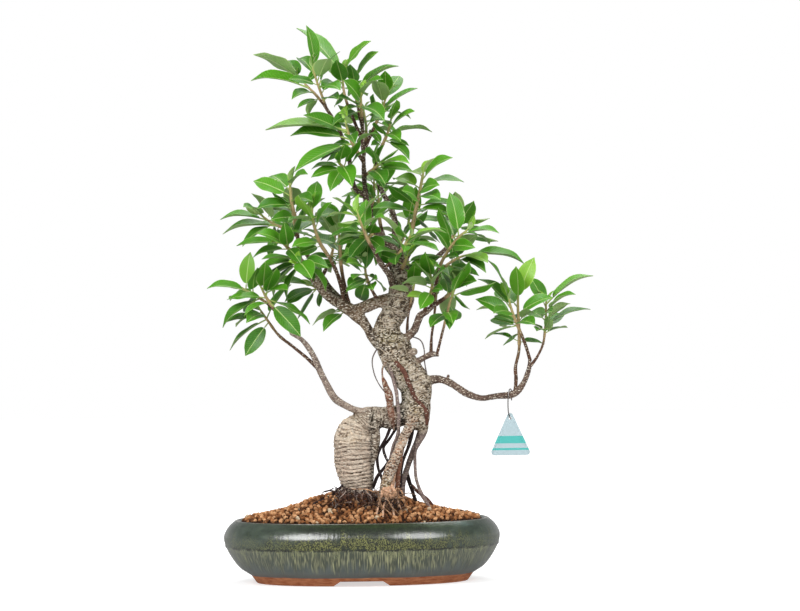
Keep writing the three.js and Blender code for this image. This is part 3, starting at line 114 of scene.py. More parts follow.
# Limbs of the tree, as (plan x, plan y, depth, radius in plan steps)
LIMBS = {
    "trunk": [
        (401, 260, -2, 8.5), (401, 274, -5, 10.5), (401, 287, -7, 11.5), (401, 298, -7, 14.5),
        (396, 309, -5, 12.5), (388, 323, -3, 12.3), (388, 334, -2, 13.5), (393, 346, 0, 17.5),
        (398, 358, 1, 16.5), (403.8, 368, 1, 16.6), (411.5, 378.5, 0, 17.4), (416, 389.5, -2, 16.2),
        (415, 400, -4, 15), (416.5, 411, -6, 14.4), (418, 422, -7, 12),
    ],
    "knot": [(408, 352, -4, 3.2), (414.4, 351.6, -13, 3.8)],
    "stump": [
        (366, 416, -2, 7.4), (361.5, 422.6, -2, 11.4), (355.2, 429.6, -2, 16), (352.8, 439.6, -2, 19),
        (353, 451, -2, 19.2), (354, 465, -2, 18), (355.5, 479, -2, 16.4), (356.5, 491, -2, 15.4),
        (357, 512, -2, 14),
    ],
    "bridge": [
        (358, 417, 0, 8), (369, 416, 0, 10), (380, 417, -1, 11.3), (392, 418, -3, 11.8),
        (404, 414, -5, 12),
    ],
    "root_beside_stump": [
        (375.4, 416, -4.5, 5.2), (375.2, 438, -5.5, 5), (374.4, 453, -6, 3.7), (372.8, 464, -6, 2.2),
        (371.8, 482, -6, 1.9), (372, 512, -6, 1.9),
    ],
    "stump_crease": [(370, 415, -1, 4.5), (370.4, 430, -1, 4.3), (370.6, 446, -1, 3.4)],
    "root_right_edge": [
        (425, 412, -8, 5), (424, 430, -8, 4.2), (416, 446, -6, 3.3), (410, 460, -4, 3),
        (405, 475, -2, 2.8), (402, 490, 0, 2.8), (400, 512, 2, 2.6),
    ],
    "root_thick": [
        (417, 407, -14, 5), (413, 418, -17, 5.4), (404.5, 436, -21, 5), (396.5, 455, -25, 5.2),
        (389.5, 473, -29, 5.6), (385, 488, -33, 6), (383, 514, -38, 5),
    ],
    "rootlet_a": [(385, 486, -34, 2.6), (381.5, 495, -46, 1.5), (379, 504, -60, 1.1), (375, 521, -80, 0.9)],
    "rootlet_b": [
        (386, 488, -36, 2.8), (386.5, 499, -52, 1.6), (383.5, 509, -68, 1.2), (382.5, 524, -85, 0.9),
    ],
    "rootlet_c": [
        (388, 486, -34, 2.6), (391.5, 497, -48, 1.7), (392.5, 508, -64, 1.2), (396, 522, -80, 0.9),
    ],
    "rootlet_d": [(389, 482, -30, 2.6), (395, 493, -40, 1.8), (398, 503, -50, 1.3), (404, 517, -63, 1)],
    "root_flat_left": [
        (387, 360, -8, 2.2), (382.6, 368, -9, 1.6), (382.4, 376, -10, 1.6), (385.6, 386, -13, 3.2),
        (389, 396, -16, 4.6), (390.6, 408, -18, 4.2), (392.4, 419, -17, 3), (394, 430, -13, 1.6),
    ],
    "root_centre": [
        (390, 366, -9, 2.2), (392.8, 378, -11, 1.6), (395.6, 389, -14, 1.8), (397.6, 402, -17, 1.9),
        (398.8, 419, -18, 1.9), (398, 434, -15, 1.9), (393.4, 446, -12, 1.7), (390.5, 460, -14, 2),
        (388, 474, -22, 2),
    ],
    "root_over_trunk": [
        (397, 363, -15, 2.4), (404, 372, -20, 2.4), (409.5, 385, -19.5, 2.4), (414, 396, -20, 2.4),
        (420, 404, -19, 2.5), (425.5, 411, -16, 2.8), (426, 423, -12, 3),
    ],
    "root_cross_left": [
        (392, 424, -6, 1.6), (386, 438, -6, 1.6), (380, 449, -6, 1.6), (377.5, 458, -5, 1.5),
        (378.5, 468, -6, 1.5), (382, 479, -18, 1.5), (385, 490, -30, 1.5),
    ],
    "root_cross_down": [
        (396, 428, -5, 1.5), (388, 441, -4, 1.4), (383.5, 449, -5, 1.4), (387, 460, -9, 1.4),
        (391, 467, -20, 1.4),
    ],
    "root_cross_back": [
        (391, 458, -16, 1.6), (384, 468, -8, 1.7), (377, 477, -7, 1.8), (373, 487, -6, 1.8),
    ],
    "root_inner_right": [
        (422.5, 424, -3, 2.8), (416.5, 440, -1, 2), (411.5, 453, 1, 1.8), (407, 467, 4, 1.8),
        (404, 480, 8, 1.8), (403, 508, 12, 1.8),
    ],
    "root_behind_thick": [
        (413.5, 424, -8, 2.2), (410, 441, -8, 1.8), (404.8, 456, -8, 1.6), (401.2, 470, -9, 1.6),
        (399.6, 508, -10, 1.8),
    ],
    "root_far_right": [
        (418, 438, -7, 2), (415.3, 452, -9, 1.6), (415, 466, -11, 1.6), (417, 482, -13, 1.7),
        (422, 495, -14, 1.9), (429, 507, -15, 1.8), (434, 519, -17, 1.4),
    ],
    "root_right_fork": [(406, 470, -2, 2.2), (410, 484, 0, 2.1), (414, 496, 2, 2), (419, 512, 4, 1.7)],
    "root_right_low": [
        (410, 484, 0, 1.8), (419, 493, 3, 1.6), (427, 499, 5, 1.7), (434, 508, 7, 1.6), (440, 518, 9, 1.3),
    ],
    "root_upright_a": [
        (397, 453, -22, 2.6), (394, 470, -24, 2.2), (392.5, 486, -26, 2.3), (393, 512, -28, 2),
    ],
    "root_upright_b": [
        (402, 444, -16, 2.4), (399.5, 464, -13, 2.4), (397.5, 480, -13, 2.6), (396, 512, -15, 2.4),
    ],
    "root_wire_left": [
        (379, 345, -4, 0.8), (372.5, 358, -8, 0.6), (373.5, 371, -10, 0.6), (379, 384, -12, 0.6),
        (388, 396, -14, 0.7),
    ],
    "root_wire_right": [
        (410, 336, -3, 0.8), (420, 340, -6, 0.6), (424, 349, -7, 0.6), (424.5, 361, -7, 0.6),
        (427, 376, -4, 0.8),
    ],
    "root_surface": [(342, 486, -14, 1.5), (328, 498, -22, 1), (315, 503, -28, 1), (303, 513, -34, 0.8)],
    "root_hidden_left": [(352, 500, -4, 7), (285, 536, -14, 2.4)],
    "root_hidden_front": [(358, 500, -10, 6), (342, 540, -68, 2.4)],
    "root_hidden_back": [(360, 500, 4, 6), (372, 534, 74, 2.4)],
    "root_hidden_right": [(386, 496, -30, 5), (436, 538, -12, 2.4)],
    "low_branch": [
        (390, 417, -4, 6), (372, 413, -4, 4.8), (358, 411, -6, 3.9), (345.5, 405.5, -8, 3.7),
        (334, 397.5, -10, 3.6), (327, 385, -12, 3.5), (320, 371, -14, 3.3), (312, 353, -16, 2.9),
        (302, 340, -18, 2.7), (291, 333, -18, 2.5),
    ],
    "left_branch": [
        (390, 351, 0, 7), (378, 346, -2, 4.4), (371.5, 337, -4, 4), (366, 325.5, -6, 4.8),
        (355, 313.5, -8, 6.6), (341, 304, -8, 6), (327, 295, -8, 5.2), (317, 283, -8, 4.6),
        (307, 268, -8, 4), (294, 253, -8, 3),
    ],
    "left_brace": [(352, 311, -8, 5.4), (365, 307, -7, 6), (378, 302, -6, 6), (400, 298, -6, 7)],
    "right_branch": [
        (414, 384, 0, 9), (430, 380, 0, 5.4), (441, 379.5, 0, 4), (452, 384, -2, 3.8), (466, 393, -4, 3.4),
        (481, 398, -6, 3.2), (497, 396.3, -8, 3.4), (509, 395.5, -10, 4.2), (517, 391.5, -10, 3.5),
        (524, 382, -10, 2.8), (528.5, 370, -10, 2.4), (530, 358, -10, 2.1),
    ],
    "right_branch_bud": [(447, 382, -1, 2), (448.5, 376, -1, 1.6)],
    "small_branch": [
        (408, 364, -4, 5), (418, 361, -6, 3.4), (427, 356.3, -7, 3.2), (433, 354, -8, 3.6),
        (438.5, 355.5, -8, 1.6),
    ],
    "middle_branch": [
        (397, 342, -2, 6), (407, 337, -4, 4.4), (415, 329, -6, 3.8), (420, 316, -8, 3.6),
        (427, 311, -10, 3.2), (437, 303, -12, 2.8),
    ],
    "leader": [
        (401, 264, -4, 8), (396, 251, -6, 5.2), (386, 241, -8, 4.3), (375, 229, -10, 3.9),
        (368, 210, -8, 3.4), (365, 188, -5, 3), (363.5, 168, 0, 2.8), (363.5, 150, 3, 2.6),
        (362.5, 134, 5, 2.3), (362, 119, 4, 2),
    ],
    "leader_right": [
        (398, 256, 0, 4.8), (395.5, 240, 6, 3.8), (394.5, 220, 10, 3.3), (389, 204, 12, 3),
        (381, 190, 14, 2.7), (376.5, 174, 15, 2.5), (375, 160, 15, 2.2),
    ],
    "leader_left": [
        (366, 196, -6, 2.8), (355, 188, 1, 2.4), (351, 168, 7, 2.3), (347, 150, 9, 2.1),
        (338, 128, 6, 1.9), (325, 106, -2, 1.7),
    ],
    "back_branch": [(401, 292, 0, 7), (396, 276, 24, 4.2), (388, 252, 46, 3.2), (382, 232, 62, 2.5)],
    "back_left_branch": [
        (342, 303, -6, 4.6), (330, 288, 22, 3.4), (316, 268, 46, 2.8), (304, 250, 62, 2.2),
    ],
    "back_right_branch": [(403, 284, 2, 6), (420, 270, 28, 3.4), (438, 256, 50, 2.6), (448, 246, 62, 2.1)],
    "front_branch": [(398, 292, -10, 6), (390, 276, -34, 3.4), (380, 262, -54, 2.6), (374, 250, -66, 2.2)],
}

# Leafy shoots: the share of the route that is woody, how many leaves are set round it in a spiral, the
# route, and the leaves whose tip and width are seen on the plan, where a minus shows the underside
SHOOTS = {
    "top_far_left": (0.2, 0,
        [(325, 106, -2, 1.7), (316, 95, 4, 1.5), (307, 86, 10, 1.2), (299, 77, 14, 0.9)],
        [(292, 97, 6), (251, 77, 11), (254, 53, -10), (286, 60, 10)]),
    "top_left": (0.2, 1,
        [(327, 109, -1, 1.5), (322, 96, -8, 1.4), (317, 82, -14, 1.2), (313, 69, -16, 0.9)],
        [(334, 80, 9), (340, 88, 6), (328, 58, -5), (298, 56, 5), (306, 25, 14)]),
    "top_middle": (0.5, 1,
        [(362, 140, 4, 2), (353, 118, 3, 1.8), (346, 100, 4, 1.5), (343, 84, 5, 1.2), (344, 69, 6, 0.9)],
        [(336, 108, 8), (316, 60, 6), (297, 27, 4), (370, 40, 12)]),
    "top_inner": (0.4, 2,
        [(362.4, 129, 4.6, 1.8), (358, 108, 14, 1.5), (355, 90, 16, 1.2), (355, 78, 18, 0.9)],
        [(397, 63, 5), (350, 64, 7), (378, 51, 12)]),
    "leader_tip": (0.3, 1,
        [(362.2, 124, 4.4, 1.9), (361.5, 115, 2, 1.8), (361, 106, -2, 1.5), (361, 95, -4, 1)],
        [(332, 124, 8), (384, 118, 8), (343, 80, 15), (381, 77, 9)]),
    "top_right": (0.45, 1,
        [(363.5, 152, 3, 2.2), (372, 132, 12, 1.9), (381, 112, 18, 1.5), (387, 94, 20, 1)],
        [(371, 95, 9), (418, 88, 6), (376, 80, 7), (400, 76, 11), (385, 71, 7)]),
    "right_upper": (0.3, 1,
        [(375, 162, 15, 2.2), (382, 146, 12, 1.8), (388, 132, 10, 1.4), (391, 120, 8, 1)],
        [(410, 158, 5), (400, 139, 9), (415, 111, 10), (374, 118, 8), (398, 101, 8)]),
    "left_big": (0.25, 0,
        [(363.5, 162, 1, 2.2), (356, 150, -10, 1.9), (350, 138, -17, 1.5), (346, 124, -20, 1)],
        [(320, 159, 5), (294, 172, 12), (290, 133, 14), (303, 115, 13), (265, 130, 8), (341, 112, 10)]),
    "left_inner": (0.3, 1,
        [(352, 176, 5, 2), (345, 169, -8, 1.7), (339, 163, -20, 1.2)],
        [(311, 176, 9), (330, 190, 9), (352, 184, 9), (346, 146, 7)]),
    "right_inner": (0.3, 1,
        [(364, 176, -3, 2), (372, 170, -16, 1.6), (379, 165, -26, 1.1)],
        [(385, 182, 7), (412, 170, 9), (409, 161, 6), (368, 148, 8)]),
    "right_leader": (0.42, 1,
        [(402, 266, 0, 4), (410, 251, -2, 2.6), (411.5, 236, -3, 2.4), (413.5, 221, -4, 2.2),
         (416.5, 207, -4, 2), (420, 190, -4, 1.7), (423, 174, -4, 1.4)],
        [(400, 248, 9), (439, 244, 5), (372, 208, 8), (451, 213, 7), (460, 206, 6), (403, 190, 13),
         (440, 198, 8), (438, 184, 13), (393, 177, 8), (464, 180, 6), (451, 156, 12), (411, 171, 5)]),
    "right_outer": (0.42, 1,
        [(431, 308, -11, 2.4), (436, 284, -14, 2.1), (440, 266, -17, 1.9), (448, 251, -20, 1.7),
         (458, 238, -22, 1.4), (466, 231, -23, 1)],
        [(416, 272, 8), (433, 228, 14), (474, 247, 14), (447, 218, 12), (450, 192, 17), (499, 231, 5),
         (490, 243, 6)]),
    "right_low_outer": (0.3, 1,
        [(438, 274, -15, 2), (447, 265, -4, 1.7), (458, 258, 4, 1.4), (467, 255, 8, 1)],
        [(462, 248, 5), (486, 270, 6), (460, 277, 9), (488, 262, 5), (525, 260, 7)]),
    "middle_tip": (0.35, 1,
        [(436, 304, -12, 2.6), (446, 297, -13, 2.2), (453, 290, -14, 1.7), (457, 283, -14, 1.1)],
        [(448, 319, 9), (444, 273, 9), (477, 281, 12), (464, 268, 7)]),
    "middle_front": (0.4, 1,
        [(424, 313, -10, 2.2), (428, 300, -22, 1.9), (432, 288, -30, 1.5), (431, 277, -34, 1.1)],
        [(420, 309, 17), (446, 268, 9), (414, 264, 9), (424, 254, 8)]),
    "low_right_a": (0.68, 2,
        [(431, 354, -8, 1.9), (431.5, 338, -3, 1.6), (434, 318, 6, 1.5), (436, 298, 16, 1.3),
         (437, 284, 22, 1)],
        [(428, 262, 8), (449, 263, 8), (418, 281, 7)]),
    "low_right_b": (0.45, 2,
        [(437, 354, -8, 1.7), (441, 338, -12, 1.5), (445.5, 320, -20, 1.4), (450, 302, -30, 1.2),
         (455, 288, -36, 1)],
        [(430, 327, 5), (456, 321, 4), (470, 262, 8), (443, 262, 7)]),
    "crown_left": (0.5, 1,
        [(530, 360, -10, 2.1), (525.5, 345, -12, 1.9), (519.5, 330, -16, 1.7), (513, 314, -20, 1.5),
         (509, 300, -22, 1)],
        [(535, 324, 8), (476, 298, 15), (494, 312, 10), (479, 277, 5), (488, 258, 5), (502, 262, 7)]),
    "crown_middle": (0.55, 1,
        [(515, 393, -10, 2.2), (516, 379, -8, 2), (515.5, 367, -6, 1.9), (519, 350, -4, 1.8),
         (519, 330, -4, 1.7), (518, 310, -6, 1.5), (518, 294, -8, 1.1)],
        [(504, 346, 6), (490, 320, 10), (505, 327, 9), (552, 296, 12), (497, 289, 12), (516, 266, 10),
         (534, 257, 17)]),
    "crown_right": (0.5, 1,
        [(529.5, 367, -10, 2), (537, 357, -8, 1.5), (543, 344, -6, 1.4), (545, 330, -4, 1.3),
         (546, 315, -4, 1.2), (546, 302, -4, 0.9)],
        [(563, 313, 6), (590, 307, 4), (530, 312, 10), (552, 312, 8), (574, 292, 7), (530, 277, 10),
         (592, 273, 4)]),
    "low_left_fork": (0.72, 1,
        [(321, 372, -14, 2.2), (309, 360, -10, 1.9), (294, 347.5, -6, 1.8), (279, 335.5, -2, 1.7),
         (268, 321, 0, 1.4), (261, 311, 0, 1)],
        [(245, 356, 17), (229, 350, 4), (225, 322, 6), (247, 321, 10), (235, 326, 4)]),
    "low_left_tip": (0.5, 1,
        [(292, 333, -18, 2.4), (282, 320, -18, 2.1), (272, 306, -20, 1.8), (266, 297, -22, 1.5),
         (261, 287, -22, 1)],
        [(301, 336, 22), (311, 323, 4), (277, 268, 7), (288, 290, 7), (266, 264, 7), (254, 280, 6)]),
    "low_left_side": (0.3, 0,
        [(275, 310.5, -19.4, 1.8), (264, 301, -13, 1.5), (254, 295, -10, 1.3), (244, 289, -8, 1)],
        [(221, 326, 7), (229, 298, 7), (258, 268, 10), (207, 286, 8), (250, 252, 20)]),
    "left_high": (0.45, 1,
        [(300, 260, -8, 2.8), (298, 242, -8, 2.3), (296, 222, -10, 2), (291.5, 202, -12, 1.8),
         (290, 184, -12, 1.2)],
        [(272, 219, 14), (263, 200, 8), (257, 207, 11), (312, 200, 9), (253, 180, 14), (271, 175, 10),
         (306, 172, 9)]),
    "left_far": (0.3, 1,
        [(297, 236, -9, 1.8), (285, 229, 2, 1.5), (272, 223, 8, 1.3), (261, 215, 10, 1)],
        [(222, 231, 5), (283, 205, 8), (220, 217, 5), (244, 205, 6)]),
    "left_fan": (0.3, 1,
        [(295, 254, -8, 2.2), (289, 249, -20, 1.8), (283, 243, -28, 1.2)],
        [(252, 256, 7), (284, 222, 13), (258, 232, 12), (236, 246, 7)]),
    "left_droop": (0.35, 1,
        [(304, 264, -8, 2.2), (302, 262, -26, 1.8), (298, 261, -40, 1.2)],
        [(285, 300, 8), (262, 286, 8), (271, 296, 8), (253, 272, 7), (312, 279, 15)]),
    "left_under": (0.4, 0,
        [(352, 315, -6, 2.2), (346, 313, 8, 1.7), (341, 310, 18, 1.1)],
        [(323, 330, 5), (312, 325, -9)]),
    "left_low_side": (0.35, 1,
        [(325, 292, -6, 2.2), (319, 289, 8, 1.8), (313, 286, 18, 1.2)],
        [(285, 305, 8), (298, 262, 8), (270, 283, 7)]),
    "centre_left": (0.5, 2,
        [(344, 306, -8, 2.8), (341, 285, -14, 2.4), (332, 262, -20, 2.2), (320, 243, -26, 1.9),
         (314, 225, -30, 1.6), (312, 211, -32, 1)],
        [(292, 246, 9), (279, 228, 8), (332, 202, 10), (296, 197, 9), (340, 214, 9), (317, 180, 9)]),
    "centre": (0.5, 2,
        [(350, 309, -8, 2.6), (345, 288, -4, 2.2), (341, 265, -2, 2), (340, 246, -2, 1.7),
         (338, 228, -4, 1)],
        [(330, 272, 9), (362, 262, 9), (308, 238, 9), (362, 222, 10), (322, 200, 9), (350, 193, 10)]),
    "centre_front": (0.3, 1,
        [(375, 232, -10, 2.2), (370, 236, -24, 1.8), (366, 238, -34, 1.2)],
        [(349, 259, 10), (388, 207, 10), (345, 226, 9), (384, 250, 9)]),
    "centre_low": (0.4, 1,
        [(378, 301, -7, 2), (371, 288, -20, 1.8), (366, 275, -28, 1.4), (365, 262, -32, 1)],
        [(360, 301, 15), (385, 291, 9), (347, 262, 9), (378, 243, 8)]),
    "trunk_front": (0.35, 1,
        [(400, 272, -10, 2.4), (404, 265, -24, 1.9), (407, 257, -32, 1.2)],
        [(375, 253, 14), (420, 283, 8), (390, 233, 10), (428, 240, 9)]),
    "trunk_thin": (0.7, 1,
        [(407, 334, -3, 1.6), (408, 317, -9, 1.4), (411, 301, -20, 1.3), (414, 286, -27, 1)],
        [(416, 262, 7)]),
    "leader_low": (0.35, 3,
        [(370, 216, -9, 2.4), (372, 204, 8, 2), (374, 192, 20, 1.6), (374, 182, 26, 1)],
        [(350, 200, 10), (392, 188, 8), (360, 175, 8)]),
    "back_tip": (0.3, 8,
        [(384, 238, 58, 2.4), (380, 222, 70, 2), (379, 206, 78, 1.5), (378, 192, 82, 1)],
        []),
    "back_side": (0.3, 7,
        [(390, 258, 42, 2.4), (400, 244, 62, 1.9), (406, 230, 76, 1.3), (410, 218, 84, 1)],
        []),
    "back_left_tip": (0.3, 8,
        [(306, 254, 59, 2.2), (298, 238, 70, 1.8), (294, 222, 78, 1.3), (291, 210, 82, 1)],
        []),
    "back_left_side": (0.35, 7,
        [(322, 277, 38, 2.2), (330, 260, 58, 1.8), (334, 244, 70, 1.3), (336, 230, 76, 1)],
        []),
    "back_right_tip": (0.25, 7,
        [(446, 248, 60, 2.1), (452, 238, 68, 1.8), (458, 228, 74, 1.4), (462, 220, 78, 1)],
        []),
    "front_tip": (0.3, 7,
        [(376, 254, -63, 2.2), (368, 240, -72, 1.8), (362, 226, -78, 1.3), (358, 214, -80, 1)],
        []),
    "front_side": (0.3, 6,
        [(384, 268, -46, 2.2), (396, 258, -60, 1.8), (404, 246, -68, 1.3), (410, 236, -72, 1)],
        []),
    "leader_back": (0.35, 7,
        [(363.5, 158, 2, 2.2), (366, 142, 22, 1.8), (366, 126, 36, 1.4), (364, 112, 44, 1)],
        []),
}
SHOOTS = {name: dict(zip(("woody", "more", "route", "leaves"), row)) for name, row in SHOOTS.items()}


def srgb(red, green, blue):
    """A colour as it is seen on a screen, from 0 to 255, as the linear values of a shader"""
    shares = [part / 255 for part in (red, green, blue)]
    return tuple(part / 12.92 if part <= 0.04045 else ((part + 0.055) / 1.055) ** 2.4 for part in shares)


# Bark of each kind of limb: colour, shares of pale dots and of pale swirling lines, height and step of
# its rings in mm and how far they stray, and height of its lumps in mm
BARK_FIELDS = ("tone", "dots", "swirls", "ring", "ring_step", "warp", "lump")
BARK_KINDS = {
    "trunk": (srgb(174, 156, 132), 0.35, 1.0, 0.3, 4.4, 1.3, 1.3),
    "stump": (srgb(222, 200, 180), 0.12, 0.5, 1.0, 3.9, 0.42, 0.8),
    "bridge": (srgb(144, 128, 110), 0.4, 0.8, 0.35, 4.0, 0.9, 1.0),
    "thick_root": (srgb(210, 168, 138), 0.6, 1.0, 0.4, 3.4, 0.8, 0.9),
    "grey_root": (srgb(136, 120, 116), 0.6, 0.1, 0.2, 3.8, 0.8, 0.5),
    "flat_root": (srgb(142, 98, 78), 0.5, 0.45, 0.25, 3.8, 0.8, 0.9),
    "red_root": (srgb(104, 68, 56), 0.5, 0.5, 0.25, 3.4, 0.8, 0.8),
    # Near-black bark of the dark roots, also laid on the stump's crease as painted shade
    "dark_root_and_crease_shade": (srgb(50, 38, 38), 0.08, 0, 0.1, 3.4, 0.8, 0.2),
    "branch": (srgb(104, 84, 74), 0.95, 0.15, 0.2, 3.8, 0.8, 0.7),
    "wire_root": (srgb(112, 102, 98), 0.1, 0, 0.1, 3.4, 0.8, 0.1),
    "mottled_branch": (srgb(120, 100, 80), 0.95, 0.5, 0.2, 3.8, 0.8, 0.8),
    "low_branch": (srgb(144, 128, 118), 0.8, 0.2, 0.15, 3.8, 0.8, 0.5),
    "twig": (srgb(96, 70, 56), 0.85, 0, 0.1, 3.4, 0.8, 0.3),
    "cut": (srgb(186, 168, 150), 0.0, 0.35, 0.1, 3.4, 0.8, 0.1),
}
BARK_KINDS = {kind: dict(zip(BARK_FIELDS, row)) for kind, row in BARK_KINDS.items()}

# The limbs of each kind of bark; all others have a branch's
LIMBS_OF_KIND = {
    "trunk": "trunk",
    "cut": "knot",
    "stump": "stump",
    "bridge": "bridge root_beside_stump",
    "grey_root": "root_right_edge root_centre root_inner_right root_far_right",
    "thick_root": "root_thick rootlet_a rootlet_b rootlet_c rootlet_d root_upright_a",
    "flat_root": "root_flat_left root_upright_b",
    "red_root": "root_over_trunk root_right_low",
    # The stump's crease takes this near-black bark as painted shade; the roots listed with it are dark
    # themselves.
    "dark_root_and_crease_shade": "stump_crease root_cross_left root_cross_down root_cross_back root_right_fork root_surface "
                 "root_behind_thick",
    "wire_root": "root_wire_left root_wire_right",
    "mottled_branch": "left_branch left_brace",
    "low_branch": "low_branch",
}
LIMB_KINDS = {limb: kind for kind, limbs in LIMBS_OF_KIND.items() for limb in limbs.split()}

# Marks on the bark, seen from the front of the tree: plan x and y, reach across and down, colour, strength.
# The green, olive, pale and orange marks are the bark's own colour; the dark ones noted below are painted
# shade.
BARK_MARKS_AND_SHADE = [
    (405, 393, 8, 17, srgb(84, 90, 38), 0.85), (388, 338, 13, 9, srgb(116, 112, 58), 0.6),
    (399, 368, 7, 8, srgb(120, 116, 66), 0.6), (414, 412, 7, 6, srgb(196, 176, 136), 0.8),
    # (402, 415) and (372, 420) are painted shade, in the hollow of the trunk and at the top of the stump's
    # crease
    (402, 415, 4, 17, srgb(34, 28, 26), 0.95), (372, 420, 3.5, 9, srgb(40, 42, 28), 0.9),
    # (371.3, 441) is painted shade down the stump's crease
    (371.3, 441, 1.7, 28, srgb(34, 26, 22), 0.95), (350, 436, 14, 11, srgb(196, 176, 144), 0.6),
    # (385, 425) is painted shade under the bridge
    (421, 388, 8, 15, srgb(178, 158, 130), 0.6), (385, 425, 8, 5, srgb(58, 44, 36), 0.9),
    (355, 418, 13, 6, srgb(122, 108, 80), 0.8), (387, 487, 6, 9, srgb(190, 172, 118), 0.8),
    (347, 486, 12, 5, srgb(112, 96, 74), 0.6), (395, 268, 10, 16, srgb(72, 56, 40), 0.6),
    # (367, 321) to (385, 347.8) are painted shade along the lower part of the left branch
    (367, 321, 4, 8, srgb(60, 44, 34), 0.6), (370, 332, 3.4, 7, srgb(48, 34, 28), 0.8),
    (373.5, 337, 2.6, 7, srgb(40, 27, 24), 0.9), (376.5, 346, 3.2, 4, srgb(40, 27, 24), 0.9),
    (385, 347.8, 7, 1.4, srgb(50, 38, 30), 0.8), (415, 305, 3, 6, srgb(164, 98, 44), 0.8),
    # (373, 476) is painted shade below the stump's crease, down to the soil
    (384, 450, 3, 4, srgb(60, 44, 36), 0.5), (373, 476, 3.2, 18, srgb(34, 26, 24), 1.0),
]

YOUNG_STEM = srgb(178, 152, 112)
GREEN_STEM = srgb(158, 162, 92)
BUD_TIP = srgb(160, 186, 98)

# Pale oval where a branch was cut off and the bark grew over, on the plan
HEALED_CUT = {"x": 351, "y": 435.5, "wide": 14, "high": 11}

# Fine roots: plan x and y ranges, depths, count, length and radius in mm, colour
FINE_ROOTS = [
    ((332, 378), (487, 503), (-34, -18), 150, 17, 0.62, srgb(64, 48, 46)),
    ((336, 374), (493, 510), (-52, -30), 120, 13, 0.58, srgb(86, 58, 46)),
    ((376, 402), (488, 504), (-60, -38), 26, 28, 0.8, srgb(150, 118, 92)),
    ((376, 404), (498, 514), (-70, -50), 60, 12, 0.55, srgb(60, 44, 40)),
    ((332, 378), (488, 508), (-56, -24), 110, 11, 0.42, srgb(134, 120, 112)),
]

# Ways that a blade differs from the plain one: fold of its halves, size and number of the waves in its
# edge and where they start, and curl of its tip
BLADE_FIELDS = ("fold", "wave", "waves", "phase", "curl")
BLADE_KINDS = [
    (0.28, 0.04, 1.6, 0.4, 0.03), (0.42, 0.05, 1.3, 2.1, 0.10), (0.18, 0.07, 1.8, 4.0, 0.06),
    (0.34, 0.03, 1.2, 1.2, 0.00), (0.50, 0.04, 1.7, 5.1, 0.12), (0.24, 0.06, 1.5, 3.0, 0.09),
]
BLADE_KINDS = [dict(zip(BLADE_FIELDS, row)) for row in BLADE_KINDS]

# A blade's width as a share of its leaf's length, its rings along the leaf, and its places across a ring
# over the top and back underneath
BLADE_RATIO = 0.43
BLADE_RINGS = [0, 0.08, 0.145, 0.18, 0.2, 0.235, 0.28, 0.34, 0.41, 0.485, 0.56, 0.635, 0.71, 0.78, 0.84, 0.89,
               0.93, 0.96, 0.985]
BLADE_TOP = [-1, -0.68, -0.32, 0, 0.32, 0.68, 1]
BLADE_BELOW = [0.68, 0.3, 0, -0.3, -0.68]
STALK_RADIUS = 0.0155

# Shares of the leaves that are lime green, and of the undersides that are turned up
LIME_SHARE = 0.06
TURNED_SHARE = 0.62

# Tag, its wire as (plan x, plan y, depth, radius in plan steps), and the screens over the drainage holes
TAG = {"width": 46.8, "height": 51.4, "thick": 1.2, "corner": 3.4, "hole": 3.2, "hole_drop": 10.4,
       "soft": 0.25, "sides": 144, "top": (510, 408.7), "depth": -13.5}
WIRE_ROUTE = [
    (511.5, 400, -4, 0.54), (511.8, 395, -3.6, 0.54), (511.2, 390, -6.2, 0.54), (510.2, 389, -10, 0.54),
    (509.2, 390.3, -13.8, 0.54), (508.4, 395, -15.9, 0.54), (508, 401, -16, 0.54), (508.2, 410, -16, 0.54),
    (509.3, 416.6, -15.4, 0.54), (510.3, 417.6, -13.5, 0.54), (510.9, 419.6, -11.6, 0.54),
]
SCREEN = {"size": 34, "thick": 0.9, "bars": 9, "bar": 1.4}

# Printed bands on the tag, as heights in metres above its lower edge between which they ease in and out
TAG_BANDS = [(0.0055, 0.0058, 0.0078, 0.0081), (0.0130, 0.0133, 0.0212, 0.0215)]

# Heights in metres between which the pot's glaze changes
GLAZE = {
    "foot": (0.0086, 0.0094), "low_wall": (0.012, 0.029), "pale_edge": (0.034, 0.0395),
    "olive": (0.036, 0.0415, 0.046, 0.059), "ridge_line": (0.0386, 0.0402, 0.0410, 0.0426),
    "below_ridge": (0.0412, 0.0400), "lip": (0.0684, 0.0691),
}

# Ridge round the pot in mm, the parts of the outline that the runs of the glaze follow, and how upright
# they run
RIDGE = {"out": 0.75, "half_height": 1.3}
OUTLINE_PARTS = 3600
RUN_UPRIGHT = 0.9

# Kinds of grains in the soil and flat breaks on each
GRAIN_KINDS = 6
GRAIN_BREAKS = 9

# Size of the cells in which the limbs grow into one skin, and times that it is smoothed
SKIN_CELL = 1.05
SKIN_SMOOTHINGS = 3

# A turn all the way round, for turns by chance
ALL_ROUND = 6.28

# Factors of the draws and of the noise, which scatter whole numbers
DRAW_FACTOR, DRAW_RANGE = 16807, 2147483647
NOISE_FACTORS = (73856093, 19349663, 83492791)
NOISE_SEED_FACTOR, NOISE_SPREAD = 2654435761, 1274126177


def seeded_draws(seed):
    """Draws the same run of numbers between 0 and 1 from the same seed"""
    state = seed
    while True:
        state = (state * DRAW_FACTOR) % DRAW_RANGE
        yield state / DRAW_RANGE


def at_plan(x, y, depth):
    """The place in millimetres of a point on the plan"""
    east, south = x - PLAN_MIDDLE[0], y - PLAN_MIDDLE[1]
    right = east * math.cos(PLAN_TILT) - south * math.sin(PLAN_TILT)
    down = east * math.sin(PLAN_TILT) + south * math.cos(PLAN_TILT)
    step = PLAN_STEP * (1 + depth / PLAN_EYE["away"])
    return np.array([PLAN_EYE["x"] + right * step, depth, PLAN_EYE["z"] - down * step])


